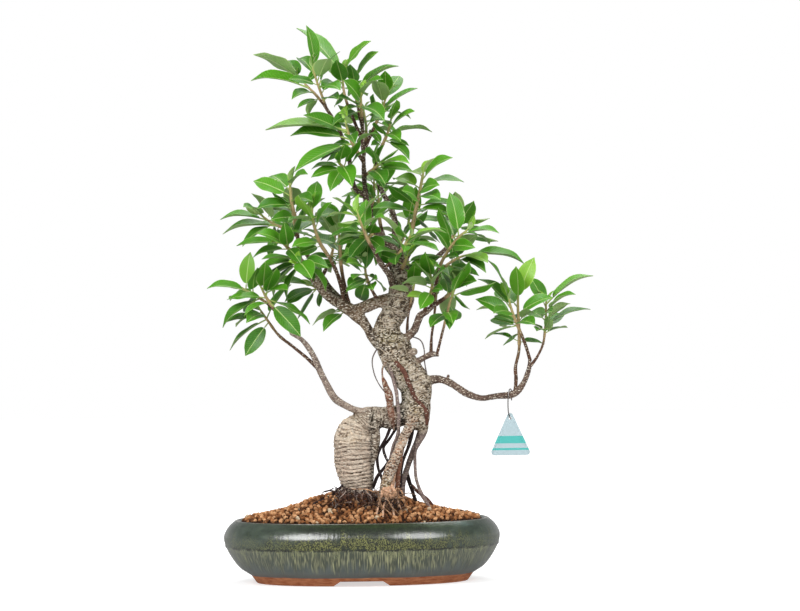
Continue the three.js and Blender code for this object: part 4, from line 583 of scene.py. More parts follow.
def plan_of(places):
    """Plan x and y of places in millimetres"""
    step = PLAN_STEP * (1 + places[:, 1] / PLAN_EYE["away"])
    right = (places[:, 0] - PLAN_EYE["x"]) / step
    down = (PLAN_EYE["z"] - places[:, 2]) / step
    x = PLAN_MIDDLE[0] + right * math.cos(PLAN_TILT) + down * math.sin(PLAN_TILT)
    y = PLAN_MIDDLE[1] - right * math.sin(PLAN_TILT) + down * math.cos(PLAN_TILT)
    return x, y


def to_frame(places):
    return np.asarray(places, float) * MM + POT_MIDDLE


def from_frame(places):
    return (places - POT_MIDDLE) / MM


def unit(vector):
    return vector / np.linalg.norm(vector)


def curve_point(before, here, there, after, part):
    """A point of a smooth curve, at a part of the way from here to there"""
    leave, arrive = (there - before) / 2, (after - here) / 2
    square = 3 * (there - here) - 2 * leave - arrive
    cube = 2 * (here - there) + leave + arrive
    return here + leave * part + square * part ** 2 + cube * part ** 3


class Route:
    """A smooth way through plan points, read at shares from 0 to 1 of its control points"""

    def __init__(self, rows):
        self.points = np.array([at_plan(*row[:3]) for row in rows])
        self.radii = np.array([row[3] for row in rows]) * PLAN_STEP
        self.last = len(rows) - 1

    def at(self, share):
        place = share * self.last
        i = min(int(place), self.last - 1)
        here, there = self.points[i], self.points[i + 1]
        before = self.points[i - 1] if i > 0 else 2 * here - there
        after = self.points[i + 2] if i + 2 <= self.last else 2 * there - here
        return curve_point(before, here, there, after, place - i)

    def radius(self, share):
        return float(np.interp(share * self.last, range(self.last + 1), self.radii))

    def line(self, shares):
        """Points and radii at shares of the route"""
        points = [self.at(share) for share in shares]
        return np.array(points), np.array([self.radius(share) for share in shares])

    def direction(self, share):
        near = 1e-4
        return unit(self.at(min(share + near, 1)) - self.at(max(share - near, 0)))

    def length(self, parts=200):
        places = np.array([self.at(i / parts) for i in range(parts + 1)])
        return float(np.linalg.norm(np.diff(places, axis=0), axis=1).sum())

    def parts(self, step, least, share=1.0):
        """How many parts of about a step in mm a share of the route has"""
        return max(least, int(self.length() * share / step))

    def rings(self, shares, sides, grow=0.0):
        """Rings square to the route, carried along it without twist"""
        across = None
        rings = []
        for share in shares:
            along = self.direction(share)
            if across is None:
                reference = UP if abs(along[2]) < STEEP else -TO_FRONT
                across = unit(np.cross(along, reference))
            else:
                across = unit(across - along * across.dot(along))
            other = np.cross(along, across)
            turns = 2 * np.pi * np.arange(sides) / sides
            radius = self.radius(share) + grow
            ring = across * np.cos(turns)[:, None] + other * np.sin(turns)[:, None]
            rings.append(self.at(share) + radius * ring)
        return rings


UP = np.array([0.0, 0.0, 1.0])
TO_FRONT = np.array([0.0, -1.0, 0.0])

# A way whose upward part is larger than this is measured against the front and not against UP
STEEP = 0.8
THICK_LIMB = 3.2

# Leaves wanted in each family of shoots, or in one shoot, to close the crown, and tries for each
FILLING_LEAVES = {"middle": 5, "centre": 6, "leader": 4, "crown": 5, "right": 4, "left": 4, "top": 3,
                  "trunk": 4, "left_under": 0}
FILLING_TRIES = 5


def test_sides(rows):
    thickest = max(row[3] for row in rows)
    for limit, sides in ((8, 10), (THICK_LIMB, 6), (1.9, 5)):
        if thickest > limit:
            return sides
    return 4


class TestBodies:
    """What already grows, to tell whether a new leaf would touch it"""

    def __init__(self, most=6000):
        self.bodies = []
        self.centres = np.zeros((most, 3))
        self.reaches = np.zeros(most)

    @staticmethod
    def body(rings, owner, kind):
        edges = []
        triangles = []
        for i, ring in enumerate(rings):
            count = len(ring)
            if count > 1:
                edges += [(ring[k], ring[(k + 1) % count]) for k in range(count)]
            if i + 1 == len(rings):
                continue
            following = rings[i + 1]
            for k in range(max(count, len(following))):
                a, b = ring[k % count], ring[(k + 1) % count]
                c, d = following[k % len(following)], following[(k + 1) % len(following)]
                edges.append((a, c))
                if count > 1:
                    triangles.append((a, b, c))
                if len(following) > 1:
                    triangles.append((b, d, c))
        points = np.concatenate(rings)
        centre = points.mean(axis=0)
        reach = np.linalg.norm(points - centre, axis=1).max()
        return dict(edges=np.array(edges), triangles=np.array(triangles), centre=centre, reach=reach,
                    owner=owner, kind=kind)

    def add(self, body):
        self.centres[len(self.bodies)] = body["centre"]
        self.reaches[len(self.bodies)] = body["reach"]
        self.bodies.append(body)

    def blocks(self, body):
        """Parts of one shoot may grow into each other, except that its blades keep clear of one another"""
        count = len(self.bodies)
        apart = np.linalg.norm(self.centres[:count] - body["centre"], axis=1)
        near = []
        for i in np.nonzero(apart <= self.reaches[:count] + body["reach"])[0]:
            other = self.bodies[i]
            both_blades = body["kind"] == "blade" and other["kind"] == "blade"
            if body["owner"] != other["owner"] or both_blades:
                near.append(other)
        if not near:
            return False
        triangles = np.concatenate([other["triangles"] for other in near])
        edges = np.concatenate([other["edges"] for other in near])
        return crossing(body["edges"], triangles) or crossing(edges, body["triangles"])

    def takes_leaf(self, owner, start, tip, upper):
        """Whether a leaf finds room, which it then takes"""
        wide = leaf_rings(start, tip, upper, LEAF_SPARE)
        bodies = [self.body(wide[:2], owner, "petiole"), self.body(wide[1:], owner, "blade")]
        if any(self.blocks(body) for body in bodies):
            return False
        for body in bodies:
            self.add(body)
        return True


NO_VOLUME = 1e-9


def crossing(edges, triangles):
    """Whether any of the edges goes through any of the triangles"""
    corner = triangles[:, 0]
    one = triangles[:, 1] - corner
    two = triangles[:, 2] - corner
    along = edges[:, 1] - edges[:, 0]
    p = np.cross(along[:, None], two[None])
    scale = (one[None] * p).sum(axis=2)
    flat = np.abs(scale) < NO_VOLUME
    safe = np.where(flat, 1.0, scale)
    start = edges[:, 0][:, None] - corner[None]
    u = (start * p).sum(axis=2) / safe
    q = np.cross(start, one[None])
    v = (along[:, None] * q).sum(axis=2) / safe
    t = (two[None] * q).sum(axis=2) / safe
    return bool((~flat & (u >= 0) & (v >= 0) & (u + v <= 1) & (t >= 0) & (t <= 1)).any())


def blade_shape(share):
    """Share of a blade's full width at a share of its length"""
    return math.sin(math.pi * share ** 0.85) ** 0.72


def leaf_rings(start, tip, upper, grow=0.0):
    """Three-sided rings round a leaf, from its start in the stem to its tip"""
    line = tip - start
    length = np.linalg.norm(line)
    forward = line / length
    normal = unit(upper - forward * upper.dot(forward))
    side = np.cross(forward, normal)
    bend = (start + tip) / 2 + normal * LEAF_LIFT * length

    def section(share, half_width, half_thick, fold):
        centre = (1 - share) ** 2 * start + 2 * share * (1 - share) * bend + share ** 2 * tip
        along = 2 * (1 - share) * (bend - start) + 2 * share * (tip - bend)
        up = unit(np.cross(side, along))
        raised = centre + up * fold * half_width
        return np.array([raised - side * half_width, raised + side * half_width, centre - up * half_thick])

    petiole = PETIOLE_RADIUS + grow / 2
    rings = [section(0, petiole, petiole, 0), section(PETIOLE_SHARE, petiole, petiole, 0)]
    for station in BLADE_STATIONS:
        half_width = LEAF_RATIO * length * blade_shape(station) / 2 + grow
        share = PETIOLE_SHARE + (1 - PETIOLE_SHARE) * station
        rings.append(section(share, half_width, LEAF_THICK / 2 + grow, LEAF_FOLD))
    rings.append((tip + forward * grow)[None])
    return rings


def square_to(vector, forward):
    square = vector - forward * vector.dot(forward)
    length = np.linalg.norm(square)
    return np.array([1.0, 0.0, 0.0]) if length < 0.05 else square / length


def seen_leaf(route, share, row, attempt, draw):
    """A try for a leaf whose tip and width are seen on the plan: its depth is what the plan leaves open"""
    x, y, width = row
    start = route.at(share)
    seen = np.linalg.norm(at_plan(x, y, start[1]) - start)
    natural = LEAF_LENGTH * (0.88 + 0.24 * next(draw))
    turned = math.sqrt(max(natural * natural - seen * seen, 16))
    way = (1 if attempt % 2 == 0 else -1) * (-1 if next(draw) < 0.6 else 1)
    depth = way * (turned + 5 * (attempt // 2)) * (0.5 if attempt > 5 else 1)
    tip = at_plan(x, y, start[1] + depth)
    length = np.linalg.norm(tip - start)
    forward = (tip - start) / length
    face = min(max(abs(width) * PLAN_STEP / (LEAF_RATIO * length), 0.15), 0.97)
    upper = square_to(UP, forward) * math.sqrt(1 - face * face)
    return start, tip, upper + square_to(TO_FRONT, forward) * math.copysign(face, width)


def leaning(along, turn, lean):
    """The way that leans off a stem by an angle, at a turn round the stem"""
    across = square_to(UP if abs(along[2]) < STEEP else TO_FRONT, along)
    outward_way = across * math.cos(turn) + np.cross(along, across) * math.sin(turn)
    return along * math.cos(lean) + outward_way * math.sin(lean)


def rolled_up(forward, roll):
    """The way up of a leaf that is rolled about its own line"""
    square = square_to(UP, forward)
    return square * math.cos(roll) + np.cross(forward, square) * math.sin(roll)


def spiral_leaf(route, share, turn, attempt, draw):
    """A try for a leaf that stands round the shoot by its turn in the spiral"""
    start = route.at(share)
    angle = turn + (next(draw) - 0.5) * (0.5 + 0.5 * attempt)
    forward = leaning(route.direction(share), angle, 0.75 + 0.5 * next(draw))
    forward[2] -= 0.15
    forward = unit(forward)
    length = LEAF_LENGTH * (0.8 + 0.35 * next(draw)) * (1 - 0.04 * attempt)
    return start, start + forward * length, rolled_up(forward, 0.9 * (next(draw) - 0.5))


def grow_leaves(name, shoot, route, green_from, seed, placed):
    """The leaves of one shoot, each as its start, tip, the way its upper side faces, and its place"""
    draw = seeded_draws(seed)
    leaves = []
    seen_count = len(shoot["leaves"])
    for i in range(seen_count + shoot["more"]):
        seen = i < seen_count
        place = (i + 0.6) / seen_count if seen else (i - seen_count + 0.35) / shoot["more"]
        share = green_from + (0.985 - green_from) * (0.12 + 0.88 * min(place, 1))
        for attempt in range(LEAF_TRIES):
            if seen:
                leaf = seen_leaf(route, share, shoot["leaves"][i], attempt, draw)
            else:
                leaf = spiral_leaf(route, share, (i + 1) * GOLDEN_ANGLE, attempt, draw)
            if placed.takes_leaf(name, *leaf):
                leaves.append((*leaf, place))
                break
    return leaves


def filling_leaf(item, draw):
    """A try for a smaller leaf low on a shoot, which hangs out so that its upper side is seen"""
    route, woody = item["route"], item["shoot"]["woody"]
    share = min(max(woody - 0.3, 0.1) + (0.9 - woody) * next(draw), 0.92)
    start = route.at(share)
    angle = ALL_ROUND * next(draw)
    forward = leaning(route.direction(share), angle, 0.9 + 0.6 * next(draw))
    forward[2] -= 0.45 * next(draw)
    forward = unit(forward)
    tip = start + forward * LEAF_LENGTH * (0.55 + 0.4 * next(draw))
    upper = rolled_up(forward, 1.2 * (next(draw) - 0.5))
    return (start, tip, upper + 0.5 * square_to(TO_FRONT, forward)), share


def add_filling_leaves(shoots, placed):
    """Small leaves that close the crown where there is room for them"""
    for item in shoots:
        draw = seeded_draws(item["seed"] + 401)
        wanted = FILLING_LEAVES.get(item["name"].split("_")[0], 2)
        wanted = FILLING_LEAVES.get(item["name"], wanted)
        for _ in range(wanted):
            for _ in range(FILLING_TRIES):
                leaf, place = filling_leaf(item, draw)
                if placed.takes_leaf(item["name"], *leaf):
                    item["leaves"].append((*leaf, 0.5 * place))
                    break


def grow_tree():
    """Where every shoot and leaf of the tree stands"""
    placed = TestBodies()
    for rows in LIMBS.values():
        shares = np.linspace(0, 1, len(rows))
        wide = Route(rows).rings(shares, test_sides(rows), LEAF_SPARE)
        for pair in zip(wide, wide[1:]):
            placed.add(TestBodies.body(pair, "wood", "wood"))
    shoots = []
    for i, (name, shoot) in enumerate(SHOOTS.items()):
        route = Route(shoot["route"])
        wood_steps = max(1, math.floor(route.last * shoot["woody"] + 0.5))
        green_from = shoot["woody"] + GAP / route.length()
        wood_shares = np.linspace(0, shoot["woody"], wood_steps + 1)
        green_shares = np.linspace(green_from, 1, max(2, route.last - wood_steps + 1) + 1)
        for shares, owner in ((wood_shares, "wood"), (green_shares, name)):
            wide = route.rings(shares, 5, LEAF_SPARE)
            for pair in zip(wide, wide[1:]):
                placed.add(TestBodies.body(pair, owner, "stem"))
        shoots.append(dict(name=name, shoot=shoot, route=route, green_from=green_from, seed=1000 + 77 * i))
    for item in shoots:
        item["leaves"] = grow_leaves(**item, placed=placed)
    add_filling_leaves(shoots, placed)
    return shoots


def lattice_noise(places, size, seed):
    """Smooth noise from -1 to 1 that changes over the given size"""
    scaled = places / size + 17.3 * (seed + 1)
    cell = np.floor(scaled).astype(np.int64)
    part = scaled - cell
    smooth = part * part * (3 - 2 * part)
    total = np.zeros(len(places))
    for corner in itertools.product((0, 1), repeat=3):
        x, y, z = ((cell + np.array(corner)) * NOISE_FACTORS).T
        mixed = x ^ y ^ z ^ (seed * NOISE_SEED_FACTOR)
        mixed = (mixed ^ (mixed >> 13)) * NOISE_SPREAD
        value = ((mixed ^ (mixed >> 16)) & 65535) / 32767.5 - 1
        total += value * np.where(corner, smooth, 1 - smooth).prod(axis=1)
    return total


def new_object(name, vertices, faces=(), edges=()):
    mesh = bpy.data.meshes.new(name)
    mesh.from_pydata([tuple(vertex) for vertex in vertices], [tuple(edge) for edge in edges],
                     [tuple(face) for face in faces])
    made = bpy.data.objects.new(name, mesh)
    bpy.context.scene.collection.objects.link(made)
    return made


def store(mesh, name, values, domain="POINT"):
    """Keeps one number, vector or colour for each point or face of a mesh"""
    values = np.asarray(values)
    if values.ndim == 1:
        kind = {"i": "INT", "b": "BOOLEAN"}.get(values.dtype.kind, "FLOAT")
        field = "value"
    else:
        kind, field = {3: ("FLOAT_VECTOR", "vector"), 4: ("FLOAT_COLOR", "color")}[values.shape[1]]
    attribute = mesh.attributes.new(name, kind, domain)
    attribute.data.foreach_set(field, values.ravel())


def remove_all(collection):
    for item in list(collection.objects):
        bpy.data.objects.remove(item)
    bpy.data.collections.remove(collection)


def with_alpha(tones):
    return np.column_stack([tones, np.ones(len(tones))])


@contextlib.contextmanager
def edited(mesh):
    """A mesh's shape, which can be changed and then goes back into the mesh"""
    shape = bmesh.new()
    shape.from_mesh(mesh)
    yield shape
    shape.to_mesh(mesh)
    shape.free()


def smooth_shade(mesh, sharp_angle=math.radians(38)):
    mesh.polygons.foreach_set("use_smooth", [True] * len(mesh.polygons))
    with edited(mesh) as shape:
        for edge in shape.edges:
            edge.smooth = len(edge.link_faces) == 2 and edge.calc_face_angle(0) < sharp_angle


def evaluated_mesh(made):
    """The mesh of an object with its modifiers applied, which then come off"""
    graph = bpy.context.evaluated_depsgraph_get()
    mesh = bpy.data.meshes.new_from_object(made.evaluated_get(graph))
    made.modifiers.clear()
    old = made.data
    made.data = mesh
    bpy.data.meshes.remove(old)
    return made


def apply_tree(made, tree, values):
    """Runs a Geometry Nodes tree on an object and keeps the result as its mesh"""
    modifier = made.modifiers.new(tree.name, "NODES")
    modifier.node_group = tree
    for item in tree.interface.items_tree:
        if item.in_out == "INPUT" and item.name in values:
            modifier[item.identifier] = values[item.name]
    return evaluated_mesh(made)


def joined(name, parts):
    """One object from several, whose materials and attributes it keeps"""
    first = parts[0]
    if len(parts) > 1:
        with bpy.context.temp_override(active_object=first, object=first, selected_objects=parts,
                                       selected_editable_objects=parts):
            bpy.ops.object.join()
    first.name = name
    first.data.name = name
    return first


def loft_faces(rings, sides):
    """Faces between closed rings of the same number of points, outward for rings that go up and round"""
    faces = []
    for i in range(rings - 1):
        for k in range(sides):
            one, other = i * sides + k, i * sides + (k + 1) % sides
            faces.append((one, other, other + sides, one + sides))
    return faces


def outward(made):
    """Turns the faces of a closed mesh to point out"""
    with edited(made.data) as shape:
        bmesh.ops.recalc_face_normals(shape, faces=shape.faces)
    return made


# Node trees


def add(tree, kind, inputs=None, **settings):
    """Adds a node with its settings, links or sets its inputs by name or number, and gives its outputs"""
    node = tree.nodes.new(kind)
    for name, value in settings.items():
        setattr(node, name, value)
    for key, value in (inputs or {}).items():
        if isinstance(value, bpy.types.NodeSocket):
            tree.links.new(value, node.inputs[key])
        else:
            node.inputs[key].default_value = value
    return node.outputs


def math_node(tree, operation, *values):
    inputs = dict(enumerate(values))
    return add(tree, "ShaderNodeMath", inputs, operation=operation)[0]


def new_tree(name, kind, inputs, outputs):
    """A node tree with its input sockets to read from and its output sockets to link to"""
    tree = bpy.data.node_groups.new(name, kind)
    for way, sockets in (("INPUT", inputs), ("OUTPUT", outputs)):
        for label, socket in sockets.items():
            tree.interface.new_socket(label, in_out=way, socket_type=f"NodeSocket{socket}")
    return tree, tree.nodes.new("NodeGroupInput").outputs, tree.nodes.new("NodeGroupOutput").inputs


def named(tree, name, kind="FLOAT"):
    return add(tree, "GeometryNodeInputNamedAttribute", {"Name": name}, data_type=kind)["Attribute"]


def make_strand_tree():
    """Tubes that follow paths and swell and thin with them: limbs, twigs, roots, stems and wire"""
    tree, given, made = new_tree(
        "strands_along_paths", "GeometryNodeTree",
        {"Paths": "Geometry", "Sides": "Int", "Finish": "Material"},
        {"Strands": "Geometry"})
    curves = add(tree, "GeometryNodeMeshToCurve", {"Mesh": given["Paths"]})
    profile = add(tree, "GeometryNodeCurvePrimitiveCircle", {"Resolution": given["Sides"], "Radius": 1.0})
    tubes = add(tree, "GeometryNodeCurveToMesh", {
        "Curve": curves["Curve"], "Profile Curve": profile["Curve"],
        "Scale": named(tree, "path_radius"), "Fill Caps": True})
    smooth = add(tree, "GeometryNodeSetShadeSmooth", {"Geometry": tubes["Mesh"]})
    real = add(tree, "GeometryNodeRealizeInstances", {"Geometry": smooth["Geometry"]})
    finish = add(tree, "GeometryNodeSetMaterial", {"Geometry": real["Geometry"], "Material": given["Finish"]})
    tree.links.new(finish["Geometry"], made["Strands"])
    return tree


def make_leaf_tree():
    """Leaves set on the points where they grow, each turned, sized and toned for its place"""
    tree, given, made = new_tree(
        "leaves_where_they_grow", "GeometryNodeTree",
        {"Places": "Geometry", "Blades": "Collection", "Upper side": "Material", "Underside": "Material",
         "Stalk": "Material"},
        {"Leaves": "Geometry"})
    blades = add(tree, "GeometryNodeCollectionInfo", {
        "Collection": given["Blades"], "Separate Children": True, "Reset Children": True})
    turn = add(tree, "FunctionNodeEulerToRotation", {"Euler": named(tree, "leaf_turn", "FLOAT_VECTOR")})
    leaves = add(tree, "GeometryNodeInstanceOnPoints", {
        "Points": given["Places"], "Instance": blades["Instances"], "Pick Instance": True,
        "Instance Index": named(tree, "leaf_kind", "INT"), "Rotation": turn["Rotation"],
        "Scale": named(tree, "leaf_size", "FLOAT_VECTOR")})
    real = add(tree, "GeometryNodeRealizeInstances", {"Geometry": leaves["Instances"]})
    shown = real["Geometry"]
    for label, where in (("Upper side", None), ("Underside", "is_under"), ("Stalk", "is_stalk")):
        inputs = {"Geometry": shown, "Material": given[label]}
        if where:
            inputs["Selection"] = named(tree, where, "BOOLEAN")
        shown = add(tree, "GeometryNodeSetMaterial", inputs)["Geometry"]
    tree.links.new(shown, made["Leaves"])
    return tree


def make_grain_tree():
    """Loose grains scattered over a bed so that they lie side by side, each turned and sized by chance"""
    tree, given, made = new_tree(
        "grains_on_bed", "GeometryNodeTree",
        {"Bed": "Geometry", "Grains": "Collection", "Spacing": "Float", "Smallest": "Float",
         "Largest": "Float", "Seed": "Int", "Finish": "Material"},
        {"Grains": "Geometry"})
    spots = add(tree, "GeometryNodeDistributePointsOnFaces", {
        "Mesh": given["Bed"], "Distance Min": given["Spacing"], "Density Max": 4.0e5,
        "Seed": given["Seed"]}, distribute_method="POISSON")
    tone = add(tree, "FunctionNodeRandomValue", {"Seed": given["Seed"]})
    toned = add(tree, "GeometryNodeStoreNamedAttribute", {
        "Geometry": spots["Points"], "Name": "grain_tone", "Value": tone[1]})
    kinds = add(tree, "GeometryNodeCollectionInfo", {
        "Collection": given["Grains"], "Separate Children": True, "Reset Children": True})
    turn = add(tree, "FunctionNodeRandomValue", {0: (0.0, 0.0, 0.0), 1: (ALL_ROUND, ALL_ROUND, ALL_ROUND)},
               data_type="FLOAT_VECTOR")
    size = add(tree, "FunctionNodeRandomValue", {
        2: given["Smallest"], 3: given["Largest"], "Seed": given["Seed"]})
    kind = add(tree, "FunctionNodeRandomValue", {4: 0, 5: GRAIN_KINDS - 1, "Seed": given["Seed"]},
               data_type="INT")
    rotation = add(tree, "FunctionNodeEulerToRotation", {"Euler": turn[0]})
    grains = add(tree, "GeometryNodeInstanceOnPoints", {
        "Points": toned["Geometry"], "Instance": kinds["Instances"], "Pick Instance": True,
        "Instance Index": kind[2], "Rotation": rotation["Rotation"], "Scale": size[1]})
    real = add(tree, "GeometryNodeRealizeInstances", {"Geometry": grains["Instances"]})
    finish = add(tree, "GeometryNodeSetMaterial", {"Geometry": real["Geometry"], "Material": given["Finish"]})
    tree.links.new(finish["Geometry"], made["Grains"])
    return tree


# Shader effects that more than one material uses


def stretched_place(tree, stretch):
    """Object coordinates with each axis multiplied"""
    place = add(tree, "ShaderNodeTexCoord")["Object"]
    return add(tree, "ShaderNodeVectorMath", {0: place, 1: stretch}, operation="MULTIPLY")[0]


def make_mottle_group():
    """Soft blotches over the object from 0 to 1, between a low and a high value of the noise"""
    tree, given, made = new_tree(
        "mottle", "ShaderNodeTree",
        {"Scale": "Float", "Low": "Float", "High": "Float", "Stretch": "Vector"},
        {"Mask": "Float"})
    noise = add(tree, "ShaderNodeTexNoise", {
        "Vector": stretched_place(tree, given["Stretch"]), "Scale": given["Scale"], "Detail": 4.0,
        "Roughness": 0.6})
    mask = add(tree, "ShaderNodeMapRange", {
        "Value": noise["Fac"], "From Min": given["Low"], "From Max": given["High"]})
    tree.links.new(mask["Result"], made["Mask"])
    return tree


def make_dots_group():
    """Round or flattened dots scattered over the object, such as the pale pores of bark or dark specks"""
    tree, given, made = new_tree(
        "scattered_dots", "ShaderNodeTree",
        {"Scale": "Float", "Dot size": "Float", "Share": "Float", "Stretch": "Vector"},
        {"Mask": "Float"})
    cells = add(tree, "ShaderNodeTexVoronoi", {
        "Vector": stretched_place(tree, given["Stretch"]), "Scale": given["Scale"]})
    inside = add(tree, "ShaderNodeMapRange", {
        "Value": cells["Distance"], "From Min": given["Dot size"],
        "From Max": math_node(tree, "MULTIPLY", given["Dot size"], 0.6)})
    chance = add(tree, "ShaderNodeSeparateColor", {"Color": cells["Color"]})
    kept = math_node(tree, "LESS_THAN", chance["Red"], given["Share"])
    tree.links.new(math_node(tree, "MULTIPLY", inside["Result"], kept), made["Mask"])
    return tree


class Finish:
    """A material whose nodes are added one by one"""

    def __init__(self, name, **constants):
        self.material = bpy.data.materials.new(name)
        self.material.use_nodes = True
        self.tree = self.material.node_tree
        self.shader = self.tree.nodes["Principled BSDF"]
        for label, value in constants.items():
            self.shader.inputs[label.replace("_", " ")].default_value = value

    def add(self, kind, inputs=None, **settings):
        return add(self.tree, kind, inputs, **settings)

    def link(self, socket, label):
        self.tree.links.new(socket, self.shader.inputs[label])

    def place(self):
        return self.add("ShaderNodeTexCoord")["Object"]

    def attribute(self, name, output="Fac"):
        return self.add("ShaderNodeAttribute", attribute_name=name)[output]

    def math(self, operation, *values):
        return math_node(self.tree, operation, *values)

    def times(self, one, other):
        return self.math("MULTIPLY", one, other)

    def scaled(self, value, factor, added):
        return self.math("MULTIPLY_ADD", value, factor, added)

    def strayed(self, value, mask, reach):
        """A value that strays up and down with a mask"""
        return self.scaled(self.math("SUBTRACT", mask, 0.5), reach, value)

    def mottled(self, scale, low=0.3, high=0.7, upright=1.0):
        """Soft blotches from 0 to 1, squeezed along z"""
        return self.group(mottle, {"Scale": scale, "Low": low, "High": high, "Stretch": (1.0, 1.0, upright)})

    def dotted(self, scale, size, upright, share):
        """Dots from 0 to 1, squeezed along z, in a share of the places for them"""
        return self.group(scattered_dots, {
            "Scale": scale, "Dot size": size, "Stretch": (1.0, 1.0, upright), "Share": share})

    def group(self, tree, values):
        return self.add("ShaderNodeGroup", values, node_tree=tree)["Mask"]

    def mix(self, share, first, second, blend="MIX"):
        """Colour between two colours by a share, which are sockets or linear values"""
        first, second = [value if isinstance(value, bpy.types.NodeSocket) else (*value, 1.0)
                         for value in (first, second)]
        return self.add("ShaderNodeMix", {0: share, 6: first, 7: second}, data_type="RGBA",
                        blend_type=blend)[2]

    def multiplied(self, color, factors):
        return self.mix(1.0, color, factors, "MULTIPLY")

    def runs(self, place, scale, upright, low, high):
        """Blotches on the given coordinates from 0 to 1, drawn out along z"""
        drawn = self.add("ShaderNodeVectorMath", {0: place, 1: (1.0, 1.0, upright)}, operation="MULTIPLY")
        noise = self.add("ShaderNodeTexNoise", {
            "Vector": drawn[0], "Scale": scale, "Detail": 1.0, "Roughness": 0.5})
        return self.add("ShaderNodeMapRange", {
            "Value": noise["Fac"], "From Min": low, "From Max": high})["Result"]

    def band(self, value, *steps):
        """A mask that is eased up from the first value to the second, and down again if four are given"""

        def eased(start, end):
            return self.add("ShaderNodeMapRange", {"Value": value, "From Min": start, "From Max": end},
                            interpolation_type="SMOOTHSTEP")["Result"]

        up = eased(steps[0], steps[1])
        return self.times(up, eased(steps[3], steps[2])) if len(steps) == 4 else up

    def bump(self, height, strength, distance, *labels):
        """Relief in the light on the surface, and on any more layers that are named"""
        bumped = self.add("ShaderNodeBump", {"Height": height, "Strength": strength, "Distance": distance})
        for label in ("Normal", *labels):
            self.link(bumped["Normal"], label)


def make_pot_finish():
    """Dark green glaze that breaks into olive streaks below its ridge, over a bare clay foot"""
    finish = Finish("pot_glaze", Coat_Roughness=0.17, Coat_IOR=1.75, IOR=1.5)
    east, _, height = finish.add("ShaderNodeSeparateXYZ", {"Vector": finish.place()})
    aside = finish.math("ABSOLUTE", finish.math("SUBTRACT", east, float(POT_MIDDLE[0])))
    on_wall = finish.attribute("wall_place", "Vector")
    streak = finish.runs(on_wall, 880.0, 0.1, 0.46, 0.7)
    long_streak = finish.runs(on_wall, 300.0, 0.06, 0.35, 0.65)
    speckle = finish.runs(on_wall, 1050.0, 0.6, 0.46, 0.57)
    tongues = finish.runs(on_wall, 210.0, 0.05, 0.3, 0.7)
    cloud = finish.mottled(75.0, 0.34, 0.66, 1.6)
    drift = finish.mottled(26.0)
    wander = finish.strayed(height, speckle, 0.0012)
    drifted = finish.strayed(finish.strayed(height, drift, 0.012), tongues, 0.012)
    in_middle = finish.band(finish.scaled(drift, 0.03, aside), 0.14, 0.06)

    side_green = finish.mix(cloud, srgb(44, 56, 48), srgb(70, 82, 72))
    middle_green = finish.mix(cloud, srgb(6, 12, 4), srgb(26, 38, 18))
    top = finish.mix(in_middle, side_green, middle_green)
    top = finish.mix(finish.times(speckle, 0.28), top, srgb(64, 80, 48))
    olive = finish.mix(speckle, srgb(16, 24, 4), srgb(122, 124, 60))
    above = finish.times(finish.band(drifted, *GLAZE["olive"]), finish.scaled(in_middle, 0.62, 0.3))
    color = finish.mix(above, top, olive)

    grey = finish.mix(streak, srgb(70, 77, 62), srgb(178, 178, 132))
    grey = finish.mix(finish.times(long_streak, 0.4), grey, srgb(62, 70, 54))
    grey = finish.mix(finish.scaled(in_middle, -0.5, 0.5), grey, srgb(76, 84, 76))
    blue_grey = finish.mix(drift, srgb(74, 84, 80), srgb(100, 110, 106))
    lower = finish.mix(finish.band(drifted, *GLAZE["low_wall"]), blue_grey, grey)
    pale_edge = finish.times(finish.band(drifted, *GLAZE["pale_edge"]), speckle)
    lower = finish.mix(finish.times(pale_edge, 0.6), lower, srgb(142, 146, 96))
    color = finish.mix(finish.band(wander, *GLAZE["below_ridge"]), color, lower)

    line = finish.times(finish.band(wander, *GLAZE["ridge_line"]), finish.band(cloud, 0.15, 0.6))
    color = finish.mix(line, color, srgb(24, 28, 12))
    color = finish.mix(finish.band(height, *GLAZE["lip"]), color, srgb(120, 116, 100))
    clay = finish.mix(finish.mottled(90.0, upright=4.0), srgb(160, 84, 46), srgb(210, 140, 96))
    glazed = finish.band(finish.strayed(height, drift, 0.0012), *GLAZE["foot"])
    finish.link(finish.mix(glazed, clay, color), "Base Color")
    finish.link(finish.scaled(glazed, -0.45, 0.8), "Roughness")
    finish.link(glazed, "Coat Weight")
    uneven = finish.scaled(cloud, 0.3, finish.times(tongues, 0.4))
    bare = finish.times(finish.mottled(1400.0, 0.2, 0.8), finish.math("SUBTRACT", 1.0, glazed))
    relief = finish.math("ADD", bare, finish.scaled(speckle, 0.12, uneven))
    finish.bump(relief, 0.5, 0.0005, "Coat Normal")
    return finish.material


def make_clay_finish(name, dark, middle, light):
    """Baked clay grains, orange to brown, dull and porous"""
    finish = Finish(name, Roughness=0.92, Specular_IOR_Level=0.2)
    tone = finish.attribute("grain_tone")
    color = finish.mix(finish.band(tone, 0.0, 0.45), dark, middle)
    color = finish.mix(finish.band(tone, 0.5, 0.95), color, light)
    color = finish.mix(finish.math("GREATER_THAN", tone, 0.985), color, srgb(222, 200, 168))
    color = finish.mix(finish.times(finish.mottled(260.0), 0.4), color, dark)
    finish.link(color, "Base Color")
    finish.bump(finish.mottled(1500.0, 0.25, 0.75), 0.7, 0.0005)
    return finish.material


